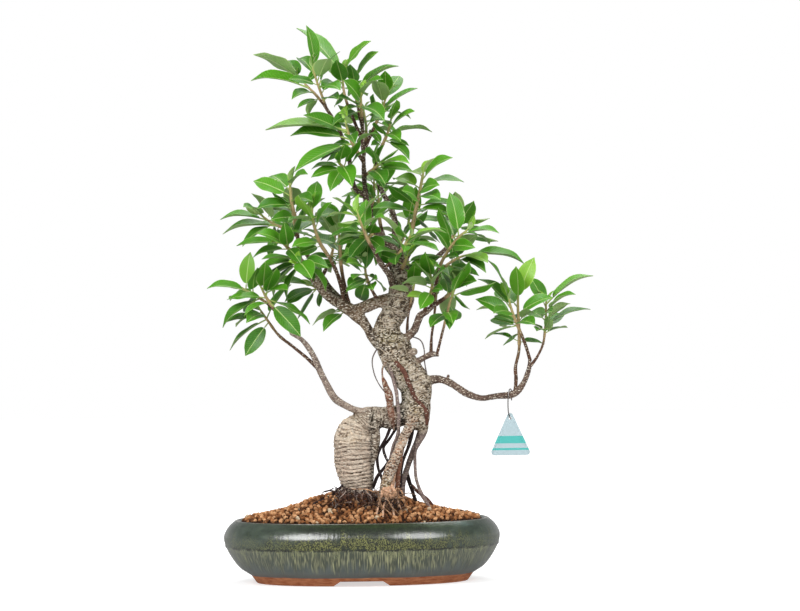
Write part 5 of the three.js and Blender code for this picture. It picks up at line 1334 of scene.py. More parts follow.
def make_bark_finish():
    """Bark whose colour, pores and relief follow the limb that it grows on"""
    finish = Finish("bark", Roughness=0.84, Specular_IOR_Level=0.28)
    tone = finish.attribute("bark_tone", "Color")
    relief = finish.attribute("bark_relief")
    patch = finish.attribute("bark_swirls")
    fine = finish.mottled(260.0, 0.36, 0.64, 2.6)
    darker = finish.multiplied(tone, (0.2, 0.17, 0.15))
    color = finish.mix(finish.times(finish.mottled(170.0, 0.28, 0.72, 1.5), 0.7), tone, darker)
    brighter = finish.multiplied(color, (2.0, 1.95, 1.9))
    color = finish.mix(finish.times(fine, 0.5), color, brighter)

    swirl_noise = finish.add("ShaderNodeTexNoise", {
        "Vector": stretched_place(finish.tree, (1.0, 1.0, 1.7)), "Scale": 85.0, "Detail": 2.0,
        "Roughness": 0.55, "Distortion": 0.8})
    swirl = finish.math("SINE", finish.times(swirl_noise["Fac"], 30.0))
    crossed = finish.mottled(240.0, 0.38, 0.5)
    swirls = finish.times(finish.times(finish.band(swirl, 0.2, 0.85), patch), crossed)
    gaps = finish.times(finish.band(swirl, 0.0, -0.7), patch)
    color = finish.mix(finish.times(gaps, 0.9), color, finish.multiplied(color, (0.1, 0.08, 0.07)))
    dashes = finish.dotted(215.0, 0.4, 2.4, finish.times(patch, 0.8))
    color = finish.mix(finish.times(dashes, 0.92), color, srgb(246, 236, 220))

    # The dark ring lines and the darkened furrows of the relief are painted shade in the bark's grooves; the
    # paler crests are a painted highlight on its ridges.
    phase = finish.times(finish.attribute("bark_phase"), math.pi)
    turned = finish.math("ABSOLUTE", finish.math("SINE", phase))
    lines = finish.times(finish.band(turned, 0.46, 0.14), finish.attribute("bark_rings"))
    groove_shade = finish.math("MAXIMUM", finish.times(finish.band(relief, 0.0, -0.7), 0.7), lines)
    groove_shade = finish.times(groove_shade, finish.scaled(fine, -0.3, 1.0))
    color = finish.mix(groove_shade, color, finish.multiplied(color, (0.22, 0.17, 0.13)))
    crest_highlight = finish.times(finish.band(relief, 0.2, 0.9), 0.7)
    color = finish.mix(crest_highlight, color, finish.mix(0.7, color, srgb(234, 218, 198)))
    color = finish.mix(finish.times(swirls, 0.9), color, finish.mix(0.8, color, srgb(232, 220, 202)))
    dots = finish.dotted(350.0, 0.38, 1.5, finish.attribute("bark_dots"))
    color = finish.mix(finish.times(dots, 0.9), color, srgb(214, 200, 180))
    finish.link(color, "Base Color")
    height = finish.math("ADD", fine, finish.times(dots, 0.9))
    height = finish.scaled(finish.math("ADD", swirls, dashes), 1.6, height)
    finish.bump(finish.scaled(lines, -2.0, height), 0.9, 0.0008)
    return finish.material


def make_stem_finish():
    """Young stems and the buds at their tips, smooth and green, tan where they start to ripen"""
    finish = Finish("young_stem", Roughness=0.5, Specular_IOR_Level=0.4)
    tone = finish.attribute("bark_tone", "Color")
    blotch = finish.mottled(220.0, 0.35, 0.65, 0.4)
    color = finish.mix(finish.times(blotch, 0.4), tone, srgb(150, 128, 76))
    specks = finish.dotted(420.0, 0.42, 2.4, finish.attribute("bark_dots"))
    color = finish.mix(finish.times(specks, 0.7), color, srgb(118, 84, 56))
    finish.link(color, "Base Color")
    return finish.material


def make_leaf_finish(name, dark, middle, light, rib, roughness, sheen_tone, rib_strength):
    """A leaf's side: its green by the leaf's own tone, with its rib, side veins and thin margin"""
    finish = Finish(name, Subsurface_Weight=0.12, Subsurface_Scale=0.0012, Subsurface_Radius=(0.5, 1.0, 0.2),
                    Specular_IOR_Level=0.46)
    across, along, half = finish.add(
        "ShaderNodeSeparateXYZ", {"Vector": finish.attribute("blade_place", "Vector")})
    tone = finish.attribute("leaf_tone")
    blotch = finish.mottled(60.0)
    color = finish.mix(finish.band(tone, 0.0, 0.55), dark, middle)
    color = finish.mix(finish.band(tone, 0.6, 1.0), color, light)
    # Blotches toward the sheen tone are a painted sheen.
    color = finish.mix(finish.times(blotch, 0.35), color, sheen_tone)
    offset = finish.math("ABSOLUTE", across)
    beside = finish.times(offset, half)
    wave = finish.math("SINE", finish.times(finish.scaled(beside, -1.1, along), 84.0))
    veins = finish.times(finish.band(wave, 0.72, 1.0), finish.band(offset, 1.0, 0.6))
    color = finish.mix(finish.times(veins, 0.14 * rib_strength), color, rib)
    rib_width = finish.scaled(along, -0.009, 0.0145)
    on_rib = finish.band(finish.math("DIVIDE", beside, rib_width), 1.25, 0.55)
    color = finish.mix(finish.times(on_rib, rib_strength), color, rib)
    margin = finish.band(offset, 0.93, 0.985)
    finish.link(finish.mix(finish.times(margin, 0.55), color, rib), "Base Color")
    finish.link(finish.scaled(blotch, 0.12, roughness), "Roughness")
    finish.bump(finish.scaled(veins, -0.6, finish.times(on_rib, -0.8)), 0.5, 0.0004)
    return finish.material


def make_plain_finish(name, tone, roughness, metallic=0.0, scuff=0.3):
    """Plastic or metal with a faint unevenness in colour and gloss"""
    finish = Finish(name, Metallic=metallic)
    blotch = finish.mottled(180.0)
    worn = tuple(min(1.0, part * (1 - scuff)) for part in tone)
    finish.link(finish.mix(finish.times(blotch, 0.6), tone, worn), "Base Color")
    finish.link(finish.scaled(blotch, 0.15, roughness), "Roughness")
    return finish


# Pot


def oval_ring(inset, height, sides=POT_SIDES):
    turn = 2 * np.pi * np.arange(sides) / sides
    cos, sin = np.cos(turn), np.sin(turn)
    x = (POT_LENGTH / 2 - inset) * np.sign(cos) * np.abs(cos) ** (2 / OVAL_POWER)
    y = (POT_DEPTH / 2 - inset) * np.sign(sin) * np.abs(sin) ** (2 / OVAL_POWER)
    return np.column_stack([x, y, np.full(sides, float(height))])


def smoothed_profile(rows, parts):
    """A smooth line through the rows of a profile, with the given number of parts between two rows"""
    points = np.array(rows, float)
    padded = np.vstack([2 * points[0] - points[1], points, 2 * points[-1] - points[-2]])
    line = []
    for i in range(1, len(points)):
        line += [curve_point(*padded[i - 1:i + 3], part) for part in np.arange(parts) / parts]
    return [*line, points[-1]]


def closed_loft(name, rings, first=None, last=None):
    """A closed body through rings, with a middle point before the first ring and after the last"""
    sides = len(rings[0])
    places = list(np.concatenate(rings))
    faces = loft_faces(len(rings), sides)
    for point, ring_start, turned in ((first, 0, True), (last, len(rings) * sides - sides, False)):
        middle = len(places)
        places.append(point)
        for k in range(sides):
            pair = (ring_start + k, ring_start + (k + 1) % sides)
            faces.append((middle, *(pair[::-1] if turned else pair)))
    return outward(new_object(name, to_frame(places), faces))


def cut_with(made, cutters):
    for cutter in cutters:
        step = made.modifiers.new("cut", "BOOLEAN")
        step.operation = "DIFFERENCE"
        step.solver = "EXACT"
        step.object = cutter
    evaluated_mesh(made)
    for cutter in cutters:
        bpy.data.objects.remove(cutter)
    return made


def prism(name, outline, middle_y, reach):
    """A body with an outline of x and z, drawn out along y on both sides of its middle"""
    rings = [[(x, middle_y + way * reach / 2, z) for x, z in outline] for way in (-1, 1)]
    centre = np.mean(outline, axis=0)
    ends = [(centre[0], middle_y + way * reach / 2, centre[1]) for way in (-1, 1)]
    return closed_loft(name, [np.array(ring) for ring in rings], np.array(ends[0]), np.array(ends[1]))


def make_pot():
    profile = [np.array(row, float) for row in FOOT_PROFILE]
    profile += smoothed_profile(WALL_PROFILE, 5)
    rings = []
    for inset, height in profile:
        on_outside = height > 9 and inset < 29
        away = (height - GLAZE_RIDGE) / RIDGE["half_height"]
        rings.append(oval_ring(inset - RIDGE["out"] * math.exp(-away ** 2) * on_outside, height))
    pot = closed_loft("glazed_pot", rings, np.array([0, 0, FOOT_PROFILE[0][1]]), np.array([0, 0, FLOOR_TOP]))
    cutters = []
    low, high_half, high = FOOT_NOTCH["low_width"] / 2, FOOT_NOTCH["high_width"] / 2, FOOT_NOTCH["height"]
    arch = [(-low - 2, -2), (low + 2, -2), (low, 0.5), (high_half + 1.5, high - 1), (high_half - 2, high),
            (2 - high_half, high), (-high_half - 1.5, high - 1), (-low, 0.5)]
    for side in (-1, 1):
        cutters.append(prism("notch", arch, side * FOOT_NOTCH["face"], FOOT_NOTCH["reach"]))
        turn = 2 * np.pi * np.arange(DRAIN_HOLE["sides"]) / DRAIN_HOLE["sides"]
        circle = DRAIN_HOLE["across"] / 2 * np.column_stack([np.cos(turn), np.sin(turn), 0 * turn])
        circle[:, 0] += side * DRAIN_HOLE["offset"]
        ends = [circle - 2 * FLOOR_TOP * UP, circle + 2 * FLOOR_TOP * UP]
        cutters.append(closed_loft("hole", ends, ends[0].mean(axis=0), ends[1].mean(axis=0)))
    cut_with(pot, cutters)
    smooth_shade(pot.data, math.radians(42))
    store(pot.data, "wall_place", on_widest_outline(from_frame(read_vectors(pot.data.vertices))) * MM)
    pot.data.materials.append(pot_glaze)
    return pot


def on_widest_outline(places):
    """Places moved out to the pot's widest outline, so that a glaze can run down the wall, nearly upright"""
    half = np.array([POT_LENGTH, POT_DEPTH]) / 2
    outline = oval_ring(0, 0, OUTLINE_PARTS)
    tree = KDTree(len(outline))
    for i, point in enumerate(outline):
        tree.insert(point, i)
    tree.balance()
    moved = places.copy()
    for i, (x, y, _) in enumerate(places):
        near = np.array(tree.find((x, y, 0))[0][:2])
        outward = np.abs(near) ** (OVAL_POWER - 1) / half ** OVAL_POWER
        facing = outward[1] ** 2 / np.sum(outward ** 2)
        run = near[0] + RUN_UPRIGHT * facing * (x - near[0])
        share = max(0.0, 1 - abs(run / half[0]) ** OVAL_POWER) ** (1 / OVAL_POWER)
        moved[i, :2] = run, math.copysign(half[1] * share, near[1])
    return moved


# Soil


def slope_at(share):
    return float(np.interp(share, [row[0] for row in MOUND_SLOPE], [row[1] for row in MOUND_SLOPE]))


def mound_ring(share, lift=0.0):
    """A ring of the soil's top, from its mound's peak (0) to the pot's rim (1)"""
    edge = oval_ring(*SOIL_PROFILE[-1])
    ring = np.empty_like(edge)
    ring[:, 0] = MOUND["x"] + (edge[:, 0] - MOUND["x"]) * share
    ring[:, 1] = MOUND["y"] + (edge[:, 1] - MOUND["y"]) * share
    ring[:, 2] = SOIL_EDGE + MOUND["rise"] * slope_at(share) + lift
    ring[:, 2] += 1.3 * lattice_noise(ring, 11, 5) * (1 - share ** 8)
    return ring


def make_soil_bed():
    rings = [oval_ring(*row) for row in SOIL_PROFILE]
    rings += [mound_ring(share, -1.0) for share in np.linspace(0.975, 0.04, 30)]
    top = np.array([MOUND["x"], MOUND["y"], SOIL_EDGE + MOUND["rise"] - 1.0])
    bed = closed_loft("soil_bed", rings, np.array([0, 0, SOIL_PROFILE[0][1]]), top)
    smooth_shade(bed.data)
    # The bed's darker clay is painted shade in the gaps between the grains.
    bed.data.materials.append(gap_shaded_clay)
    return bed


def make_grain_kinds(name, fineness, seed):
    """Grains of unit radius, broken flat on some sides"""
    draw = seeded_draws(seed)
    kinds = bpy.data.collections.new(name)
    for i in range(GRAIN_KINDS):
        mesh = bpy.data.meshes.new(f"{name}_{i}")
        shape = bmesh.new()
        bmesh.ops.create_icosphere(shape, subdivisions=fineness, radius=1.0)
        squeeze = [0.85 + 0.45 * next(draw) for _ in range(3)]
        breaks = []
        for _ in range(GRAIN_BREAKS):
            way = Vector([next(draw) - 0.5, next(draw) - 0.5, next(draw) - 0.5]).normalized()
            breaks.append((way, 0.55 + 0.3 * next(draw)))
        for vertex in shape.verts:
            for way, depth in breaks:
                vertex.co -= way * max(0.0, vertex.co.dot(way) - depth)
            knock = 0.93 + 0.14 * next(draw)
            vertex.co = Vector(knock * part * size for part, size in zip(vertex.co, squeeze))
        shape.to_mesh(mesh)
        shape.free()
        kinds.objects.link(bpy.data.objects.new(f"{name}_{i}", mesh))
    return kinds


def make_grains(name, bed_range, lift, fineness, spacing, smallest, largest, seed, finish):
    rings = [mound_ring(share, lift) for share in np.linspace(*bed_range, 30)]
    places = np.concatenate(rings)
    bed = new_object(name, to_frame(places), [face[::-1] for face in loft_faces(len(rings), POT_SIDES)])
    kinds = make_grain_kinds(f"{name}_kinds", fineness, seed)
    apply_tree(bed, grain_tree, {
        "Grains": kinds, "Spacing": spacing * MM, "Smallest": smallest * MM, "Largest": largest * MM,
        "Seed": seed, "Finish": finish})
    remove_all(kinds)
    return bed


# Wood


def strand(points, radii, tone, dots=0.0):
    """A path with its radius, colour and share of dots at each point, with round ends"""
    points, radii = np.asarray(points, float), np.asarray(radii, float)
    tone = np.broadcast_to(np.asarray(tone, float), (len(points), 3))
    dots = np.broadcast_to(np.asarray(dots, float), len(points))
    turns = np.radians([84, 62, 34])
    ends = []
    for i, other in ((0, 1), (-1, -2)):
        away = unit(points[i] - points[other])
        ends.append((points[i] + radii[i] * np.outer(np.sin(turns), away), radii[i] * np.cos(turns)))
    (head, head_radii), (tail, tail_radii) = ends
    return dict(points=np.vstack([head, points, tail[::-1]]),
                radii=np.concatenate([head_radii, radii, tail_radii[::-1]]),
                tone=np.vstack([[tone[0]] * 3, tone, [tone[-1]] * 3]),
                dots=np.concatenate([[dots[0]] * 3, dots, [dots[-1]] * 3]))


def strand_object(name, strands, sides, finish):
    edges = []
    first = 0
    for one in strands:
        count = len(one["points"])
        edges += [(first + i, first + i + 1) for i in range(count - 1)]
        first += count
    points, radii, tone, dots = [np.concatenate([one[key] for one in strands]) for key in
                                 ("points", "radii", "tone", "dots")]
    made = new_object(name, to_frame(points), edges=edges)
    store(made.data, "path_radius", radii * MM)
    store(made.data, "bark_tone", with_alpha(tone))
    store(made.data, "bark_dots", dots)
    return apply_tree(made, strand_tree, {"Sides": sides, "Finish": finish})


def kind_of(name):
    return BARK_KINDS[LIMB_KINDS.get(name, "branch")]


def limb_strand(rows, kind, seed, wander):
    """A thin limb whose line wanders a little and whose thickness goes up and down"""
    route = Route(rows)
    points, radii = route.line(np.linspace(0, 1, route.parts(2.0, 8)))
    shift = np.column_stack([lattice_noise(points, 9, seed + k) for k in range(3)])
    points = points + wander * shift
    radii = radii * (1 + 0.13 * lattice_noise(points, 4.5, seed + 3))
    blotch = 1 + 0.25 * lattice_noise(points, 15, seed + 4)[:, None]
    return strand(points, radii, kind["tone"] * blotch, kind["dots"])


def is_heavy(name, rows):
    return not name.startswith("root_hidden") and max(row[3] for row in rows) > THICK_LIMB


def heavy_tube(name, rows, seed):
    """A closed tube for a heavy limb, a little out of round"""
    route = Route(rows)
    sides = 24
    rings = []
    for ring in route.rings(np.linspace(0, 1, route.parts(2.5, 6)), sides):
        centre = ring.mean(axis=0)
        swell = 1 + 0.05 * lattice_noise(ring, 13, seed)[:, None]
        rings.append(centre + (ring - centre) * swell)
    ends = []
    for ring, other in ((rings[0], rings[1]), (rings[-1], rings[-2])):
        centre = ring.mean(axis=0)
        away = unit(centre - other.mean(axis=0))
        radius = np.linalg.norm(ring[0] - centre)
        ends.append([centre + 0.55 * radius * away + (ring - centre) * 0.72, centre + 0.75 * radius * away])
    return closed_loft(name, [ends[0][0], *rings, ends[1][0]], ends[0][1], ends[1][1])


def nearest_limbs(places, names):
    """Distance of each place from the skin of each limb, and how far along the limb it stands"""
    distance = np.empty((len(names), len(places)), np.float32)
    along = np.empty_like(distance)
    at_once = 20000
    for i, name in enumerate(names):
        route = Route(LIMBS[name])
        shares = np.linspace(0, 1, route.parts(1.5, 8))
        points, radii = route.line(shares)
        for start in range(0, len(places), at_once):
            part = slice(start, start + at_once)
            apart = np.linalg.norm(places[part, None] - points[None], axis=2) - radii
            nearest = apart.argmin(axis=1)
            distance[i, part] = apart[np.arange(len(nearest)), nearest]
            along[i, part] = shares[nearest] * route.length()
    return distance, along


def marked_and_shaded(tone, x, y, to_front):
    """Tones with the bark's own marks and the painted shade of its dark marks laid over them where they face
    the front
    """
    for mark_x, mark_y, reach_x, reach_y, colour, strength in BARK_MARKS_AND_SHADE:
        near = np.exp(-((x - mark_x) / reach_x) ** 2 - ((y - mark_y) / reach_y) ** 2)
        share = (strength * near * to_front)[:, None]
        tone = tone * (1 - share) + np.array(colour) * share
    return tone


def bark_fields(places, normals):
    """Colour, dots, relief in mm and its crest or groove from 1 to -1, for places on the heavy limbs"""
    names = [name for name, rows in LIMBS.items() if is_heavy(name, rows)]
    distance, along = nearest_limbs(places, names)
    weight = np.exp(-(distance - distance.min(axis=0)) / 1.1)
    weight /= weight.sum(axis=0)
    kinds = [kind_of(name) for name in names]
    best = distance.argmin(axis=0)

    def blended(key):
        return np.tensordot(weight, np.array([kind[key] for kind in kinds], float), (0, 0))

    step = np.array([kind["ring_step"] for kind in kinds])[best]
    warp = np.array([kind["warp"] for kind in kinds])[best]
    phase = along[best, np.arange(len(places))] / step
    phase = phase + warp * (lattice_noise(places, 17, 21) + 0.35 * lattice_noise(places, 6, 22))
    x, y = plan_of(places)
    to_front = np.clip(-normals[:, 1] * 2.5, 0, 1)
    healed = np.hypot((x - HEALED_CUT["x"]) / HEALED_CUT["wide"], (y - HEALED_CUT["y"]) / HEALED_CUT["high"])
    in_cut = to_front * (1 - np.clip((healed - 0.7) * 2.5, 0, 1))
    phase = phase + in_cut * 0.7 * lattice_noise(places, 7, 23)
    crest = 2 * np.abs(np.sin(np.pi * phase)) ** 0.55 - 1
    patchy = np.clip(1 - warp * (0.25 - 0.9 * lattice_noise(places, 12, 24)), 0.15, 1.15)
    crest = crest * patchy
    relief = blended("ring") * crest * (1 - 0.8 * in_cut)
    relief += blended("lump") * (lattice_noise(places, 15, 25) + 0.5 * lattice_noise(places, 6, 26) - 0.35)
    crest = crest * np.clip(blended("ring") / 0.55, 0, 1)
    rim = to_front * np.exp(-((healed - 1) / 0.1) ** 2) * (y < HEALED_CUT["y"] + 6)
    relief += 0.8 * rim
    crest = np.maximum(crest, rim)
    tone = marked_and_shaded(blended("tone") * (1 + 0.3 * lattice_noise(places, 20, 27)[:, None]), x, y, to_front)
    rings = np.clip((blended("ring") - 0.2) / 0.5, 0, 1) * patchy * (1 - 0.5 * in_cut)
    return dict(bark_tone=with_alpha(np.clip(tone, 0.004, 1)), bark_dots=blended("dots"), bark_relief=crest,
                bark_swirls=blended("swirls"), bark_phase=phase, bark_rings=rings), relief


def read_vectors(items, field="co"):
    values = np.empty(3 * len(items), np.float32)
    items.foreach_get(field, values)
    return values.reshape(-1, 3).astype(float)


def make_heavy_wood():
    tubes = []
    for i, (name, rows) in enumerate(LIMBS.items()):
        if is_heavy(name, rows):
            tubes.append(heavy_tube(name, rows, 40 + i))
    wood = joined("trunk_and_limbs", tubes)
    skin = wood.modifiers.new("one_skin", "REMESH")
    skin.mode = "VOXEL"
    skin.voxel_size = SKIN_CELL * MM
    evaluated_mesh(wood)
    with edited(wood.data) as shape:
        for _ in range(SKIN_SMOOTHINGS):
            bmesh.ops.smooth_vert(shape, verts=shape.verts, factor=0.5, use_axis_x=True, use_axis_y=True,
                                  use_axis_z=True)
    places = from_frame(read_vectors(wood.data.vertices))
    normals = read_vectors(wood.data.vertex_normals, "vector")
    fields, relief = bark_fields(places, normals)
    wood.data.vertices.foreach_set("co", to_frame(places + normals * relief[:, None]).ravel())
    wood.data.update()
    for field, values in fields.items():
        store(wood.data, field, values)
    wood.data.polygons.foreach_set("use_smooth", [True] * len(wood.data.polygons))
    wood.data.materials.clear()
    wood.data.materials.append(bark)
    return wood


def make_thin_wood(shoots):
    strands = []
    for i, (name, rows) in enumerate(LIMBS.items()):
        if not is_heavy(name, rows):
            strands.append(limb_strand(rows, kind_of(name), 100 + 5 * i, 0.35))
    for i, item in enumerate(shoots):
        route, woody = item["route"], item["shoot"]["woody"]
        shares = np.linspace(0, woody, route.parts(2.2, 5, woody))
        points, radii = route.line(shares)
        radii *= 0.9 + 0.14 * lattice_noise(points, 4, 300 + i)
        mix = (shares / max(woody, 0.01))[:, None] ** 7
        tone = np.array(BARK_KINDS["twig"]["tone"]) * (1 - mix) + np.array(YOUNG_STEM) * mix
        strands.append(strand(points, radii, tone, BARK_KINDS["twig"]["dots"]))
    return strand_object("thin_limbs_and_roots", strands, 9, bark)


def make_fine_roots():
    """Fine dark roots that spread from the foot of the stump, and pale ones under the thick root"""
    draw = seeded_draws(907)
    steps = 7
    strands = []
    for (low_x, high_x), (low_y, high_y), depths, count, length, radius, tone in FINE_ROOTS:
        for _ in range(count):
            x, y = low_x + (high_x - low_x) * next(draw), low_y + (high_y - low_y) * next(draw)
            depth = depths[0] + (depths[1] - depths[0]) * next(draw)
            place = at_plan(x, y, depth)
            heading = np.array([2 * next(draw) - 1, -0.3 - 0.9 * next(draw), -0.9 * next(draw)])
            points = [place]
            reach = length * (0.6 + 0.8 * next(draw))
            for _ in range(steps):
                stray = np.array([next(draw) - 0.5, next(draw) - 0.5, next(draw) - 0.55])
                heading = unit(heading + 0.9 * stray)
                place = place + heading * reach / steps
                points.append(place)
            radii = radius * np.linspace(1, 0.35, len(points)) * (0.7 + 0.6 * next(draw))
            strands.append(strand(points, radii, np.array(tone) * (0.6 + 1.5 * next(draw) ** 2)))
    return strand_object("fine_roots", strands, 5, bark)


# Leaves


def blade_ring(station, kind):
    """The ring of a leaf at a share of its length, and each of its points' share across and along the
    blade and half width there"""
    place = (station - PETIOLE_SHARE) / (1 - PETIOLE_SHARE)
    line_z = 2 * station * (1 - station) * kind["lift"]
    tilt = math.atan(2 * (1 - 2 * station) * kind["lift"])
    opened = min(1, max(0, (station - 0.165) / 0.035))
    curl = -kind["curl"] * max(0, place - 0.55) ** 2 * 3
    half = 0.0
    if place > 0:
        drawn_out = 1 - 0.55 * max(0, (place - 0.8) / 0.2) ** 1.2
        half = BLADE_RATIO / 2 * blade_shape(place) * drawn_out
    ring, marks = [], []
    for k, u in enumerate(BLADE_TOP + BLADE_BELOW):
        upper = k < len(BLADE_TOP)
        turn = math.pi * (1 - k / 6) if upper else -math.pi * (k - 6) / 6
        round_y, round_z = STALK_RADIUS * math.cos(turn), STALK_RADIUS * math.sin(turn)
        flat_y = -u * half * math.cos(kind["fold"])
        wavy = kind["wave"] * half * abs(u) ** 2 * math.sin(
            2 * math.pi * kind["waves"] * place + kind["phase"] + (1.3 if u > 0 else 0))
        flat_z = half * abs(u) ** 1.25 * math.sin(kind["fold"]) * 0.8 + wavy * 1.5
        thick = 0.0065 * (1 - 0.75 * abs(u) ** 2)
        if upper:
            flat_z += thick - (0.004 if u == 0 else 0)
        else:
            flat_z -= thick + (0.0075 * (1.25 - station) if u == 0 else 0)
        y = round_y * (1 - opened) + flat_y * opened
        z = round_z * (1 - opened) + flat_z * opened
        ring.append((station - z * math.sin(tilt), y, line_z + z * math.cos(tilt) + curl))
        marks.append((u, max(0, place), half))
    return ring, marks


def make_blade(name, kind):
    """A leaf of unit length along x with its upper side facing z, on a round stalk"""
    places, marks = [], []
    for station in BLADE_RINGS:
        ring, ring_marks = blade_ring(station, kind)
        places += ring
        marks += ring_marks
    count = len(BLADE_TOP + BLADE_BELOW)
    faces = loft_faces(len(BLADE_RINGS), count)
    start, last = len(places), len(places) - count
    places += [(-0.004, 0, 0), (1.0, 0, -kind["curl"] * 0.45 ** 2 * 3)]
    marks += [(0, 0, 0), (0, 1, 0)]
    for k in range(count):
        faces.append((start, (k + 1) % count, k))
        faces.append((last + k, last + (k + 1) % count, start + 1))
    mesh = bpy.data.meshes.new(name)
    mesh.from_pydata(places, [], faces)
    blade = bpy.data.objects.new(name, mesh)
    outward(blade)
    smooth_shade(mesh, math.radians(60))
    store(mesh, "blade_place", marks)
    middles = np.array([np.mean([marks[v] for v in face.vertices], axis=0) for face in mesh.polygons])
    ups = np.array([face.normal.z for face in mesh.polygons])
    on_stalk = np.array([min(places[v][0] for v in face.vertices) < PETIOLE_SHARE for face in mesh.polygons])
    store(mesh, "is_under", (ups < 0) & (middles[:, 1] > 0), "FACE")
    store(mesh, "is_stalk", on_stalk, "FACE")
    return blade


def shows_underside(start, tip, upper):
    forward = unit(tip - start)
    return unit(upper - forward * upper.dot(forward)).dot(TO_FRONT) < -0.05


def leaf_turn(start, tip, upper):
    forward = unit(tip - start)
    normal = unit(upper - forward * upper.dot(forward))
    left = np.cross(normal, forward)
    return Matrix(np.column_stack([forward, left, normal]).tolist()).to_euler()


def make_leaves(name, leaves):
    """Leaves given as start, tip, way up, tone and kind"""
    made = new_object(name, to_frame([leaf[0] for leaf in leaves]))
    sizes = np.array([np.linalg.norm(leaf[1] - leaf[0]) * MM for leaf in leaves])
    store(made.data, "leaf_turn", np.array([leaf_turn(*leaf[:3]) for leaf in leaves]))
    store(made.data, "leaf_size", np.repeat(sizes[:, None], 3, axis=1))
    store(made.data, "leaf_tone", np.array([leaf[3] for leaf in leaves], float))
    store(made.data, "leaf_kind", np.array([leaf[4] for leaf in leaves], np.int32))
    return apply_tree(made, leaf_tree, {
        "Blades": blades, "Upper side": leaf_upper, "Underside": leaf_under, "Stalk": leaf_stalk})


def green_stem(item, draw):
    """The green end of a shoot and the bud at its tip, and the points that it goes through"""
    route, green_from = item["route"], item["green_from"]
    count = route.parts(2.0, 6, 1 - green_from)
    points, radii = route.line(np.linspace(green_from - GAP / route.length(), 1, count))
    radii = radii * (1 + 0.1 * lattice_noise(points, 4, item["seed"] % 97))
    mix = np.linspace(0, 1, count)[:, None] ** 2.2
    tone = np.array(YOUNG_STEM) * (1 - mix) + np.array(GREEN_STEM) * mix
    bud_length = 6 + 5 * next(draw)
    bud = [points[-1] + route.direction(1) * bud_length * part for part in (0, 0.2, 0.45, 0.7, 0.9, 1.0)]
    return points, [strand(points, radii, tone, 0.45 * (1 - mix[:, 0])),
                    strand(bud, [0.75, 1.1, 1.0, 0.7, 0.35, 0.12], BUD_TIP)]


def toned_leaves(item, draw):
    """The leaves of a shoot with their tones and kinds, with some pale undersides turned to the back"""
    shoot_tone = 0.1 * (next(draw) - 0.5)
    seen = item["shoot"]["leaves"]
    leaves = []
    for i, (start, tip, upper, place) in enumerate(item["leaves"]):
        tone = 0.1 + 0.3 * place + 0.5 * next(draw) ** 1.5 + shoot_tone
        if next(draw) < LIME_SHARE and i >= len(seen):
            tone += 0.3
        kind = int(len(BLADE_KINDS) * next(draw))
        meant = i < len(seen) and seen[i][2] < 0
        if not meant and shows_underside(start, tip, upper) and next(draw) < TURNED_SHARE:
            upper = -upper
            kind += len(BLADE_KINDS)
        leaves.append((start, tip, upper, tone, kind))
    return leaves


def youngest_leaves(points, along, draw):
    """Two small leaves that stand up beside the bud"""
    leaves = []
    for k in range(2):
        start = points[-1 - k]
        turn = 2.2 * k + ALL_ROUND * next(draw)
        forward = leaning(along, turn, 0.35 + 0.3 * next(draw))
        tip = start + forward * (13 + 11 * next(draw))
        tone = 0.75 + 0.25 * next(draw)
        kind = int(len(BLADE_KINDS) * next(draw))
        leaves.append((start, tip, along - forward * along.dot(forward), tone, kind))
    return leaves


def make_shoots(family, items):
    """The green ends of a family of shoots, with their leaves, buds and youngest leaves"""
    strands, leaves = [], []
    for item in items:
        draw = seeded_draws(item["seed"] + 13)
        points, stem = green_stem(item, draw)
        strands += stem
        leaves += toned_leaves(item, draw)
        leaves += youngest_leaves(points, item["route"].direction(1), draw)
    stems = strand_object(f"stems_{family}", strands, 8, young_stem)
    return joined(f"leafy_shoots_{family}", [stems, make_leaves(f"leaves_{family}", leaves)])


# Tag and its wire, and the screens over the drainage holes


def corner_centres():
    """The middles of the tag's round corners"""
    half_width, height = TAG["width"] / 2, TAG["height"]
    corners = np.array([(0, 0), (half_width, -height), (-half_width, -height)], float)
    centres = []
    for i in range(3):
        before, after = unit(corners[i - 1] - corners[i]), unit(corners[(i + 1) % 3] - corners[i])
        half_angle = math.acos(before.dot(after)) / 2
        centres.append(corners[i] + unit(before + after) * TAG["corner"] / math.sin(half_angle))
    return np.array(centres)


def triangle_distance(centres, point):
    """Distance of a point from a triangle, with a minus inside it"""
    sides = []
    outside = False
    for i in range(3):
        one, other = centres[i], centres[(i + 1) % 3]
        line = other - one
        share = min(1, max(0, (point - one).dot(line) / line.dot(line)))
        sides.append(np.linalg.norm(point - one - line * share))
        outside |= line[0] * (point - one)[1] - line[1] * (point - one)[0] > 0
    return min(sides) if outside else -min(sides)


def tag_outline(centres, hole, ways, corner):
    """Where the ways out of the hole meet the outline, whose corners have the given radius"""
    reached = []
    for way in ways:
        far = 0.0
        for step in 40.0 / 2.0 ** np.arange(24):
            if triangle_distance(centres, hole + way * (far + step)) <= corner:
                far += step
        reached.append(hole + way * far)
    return np.array(reached)


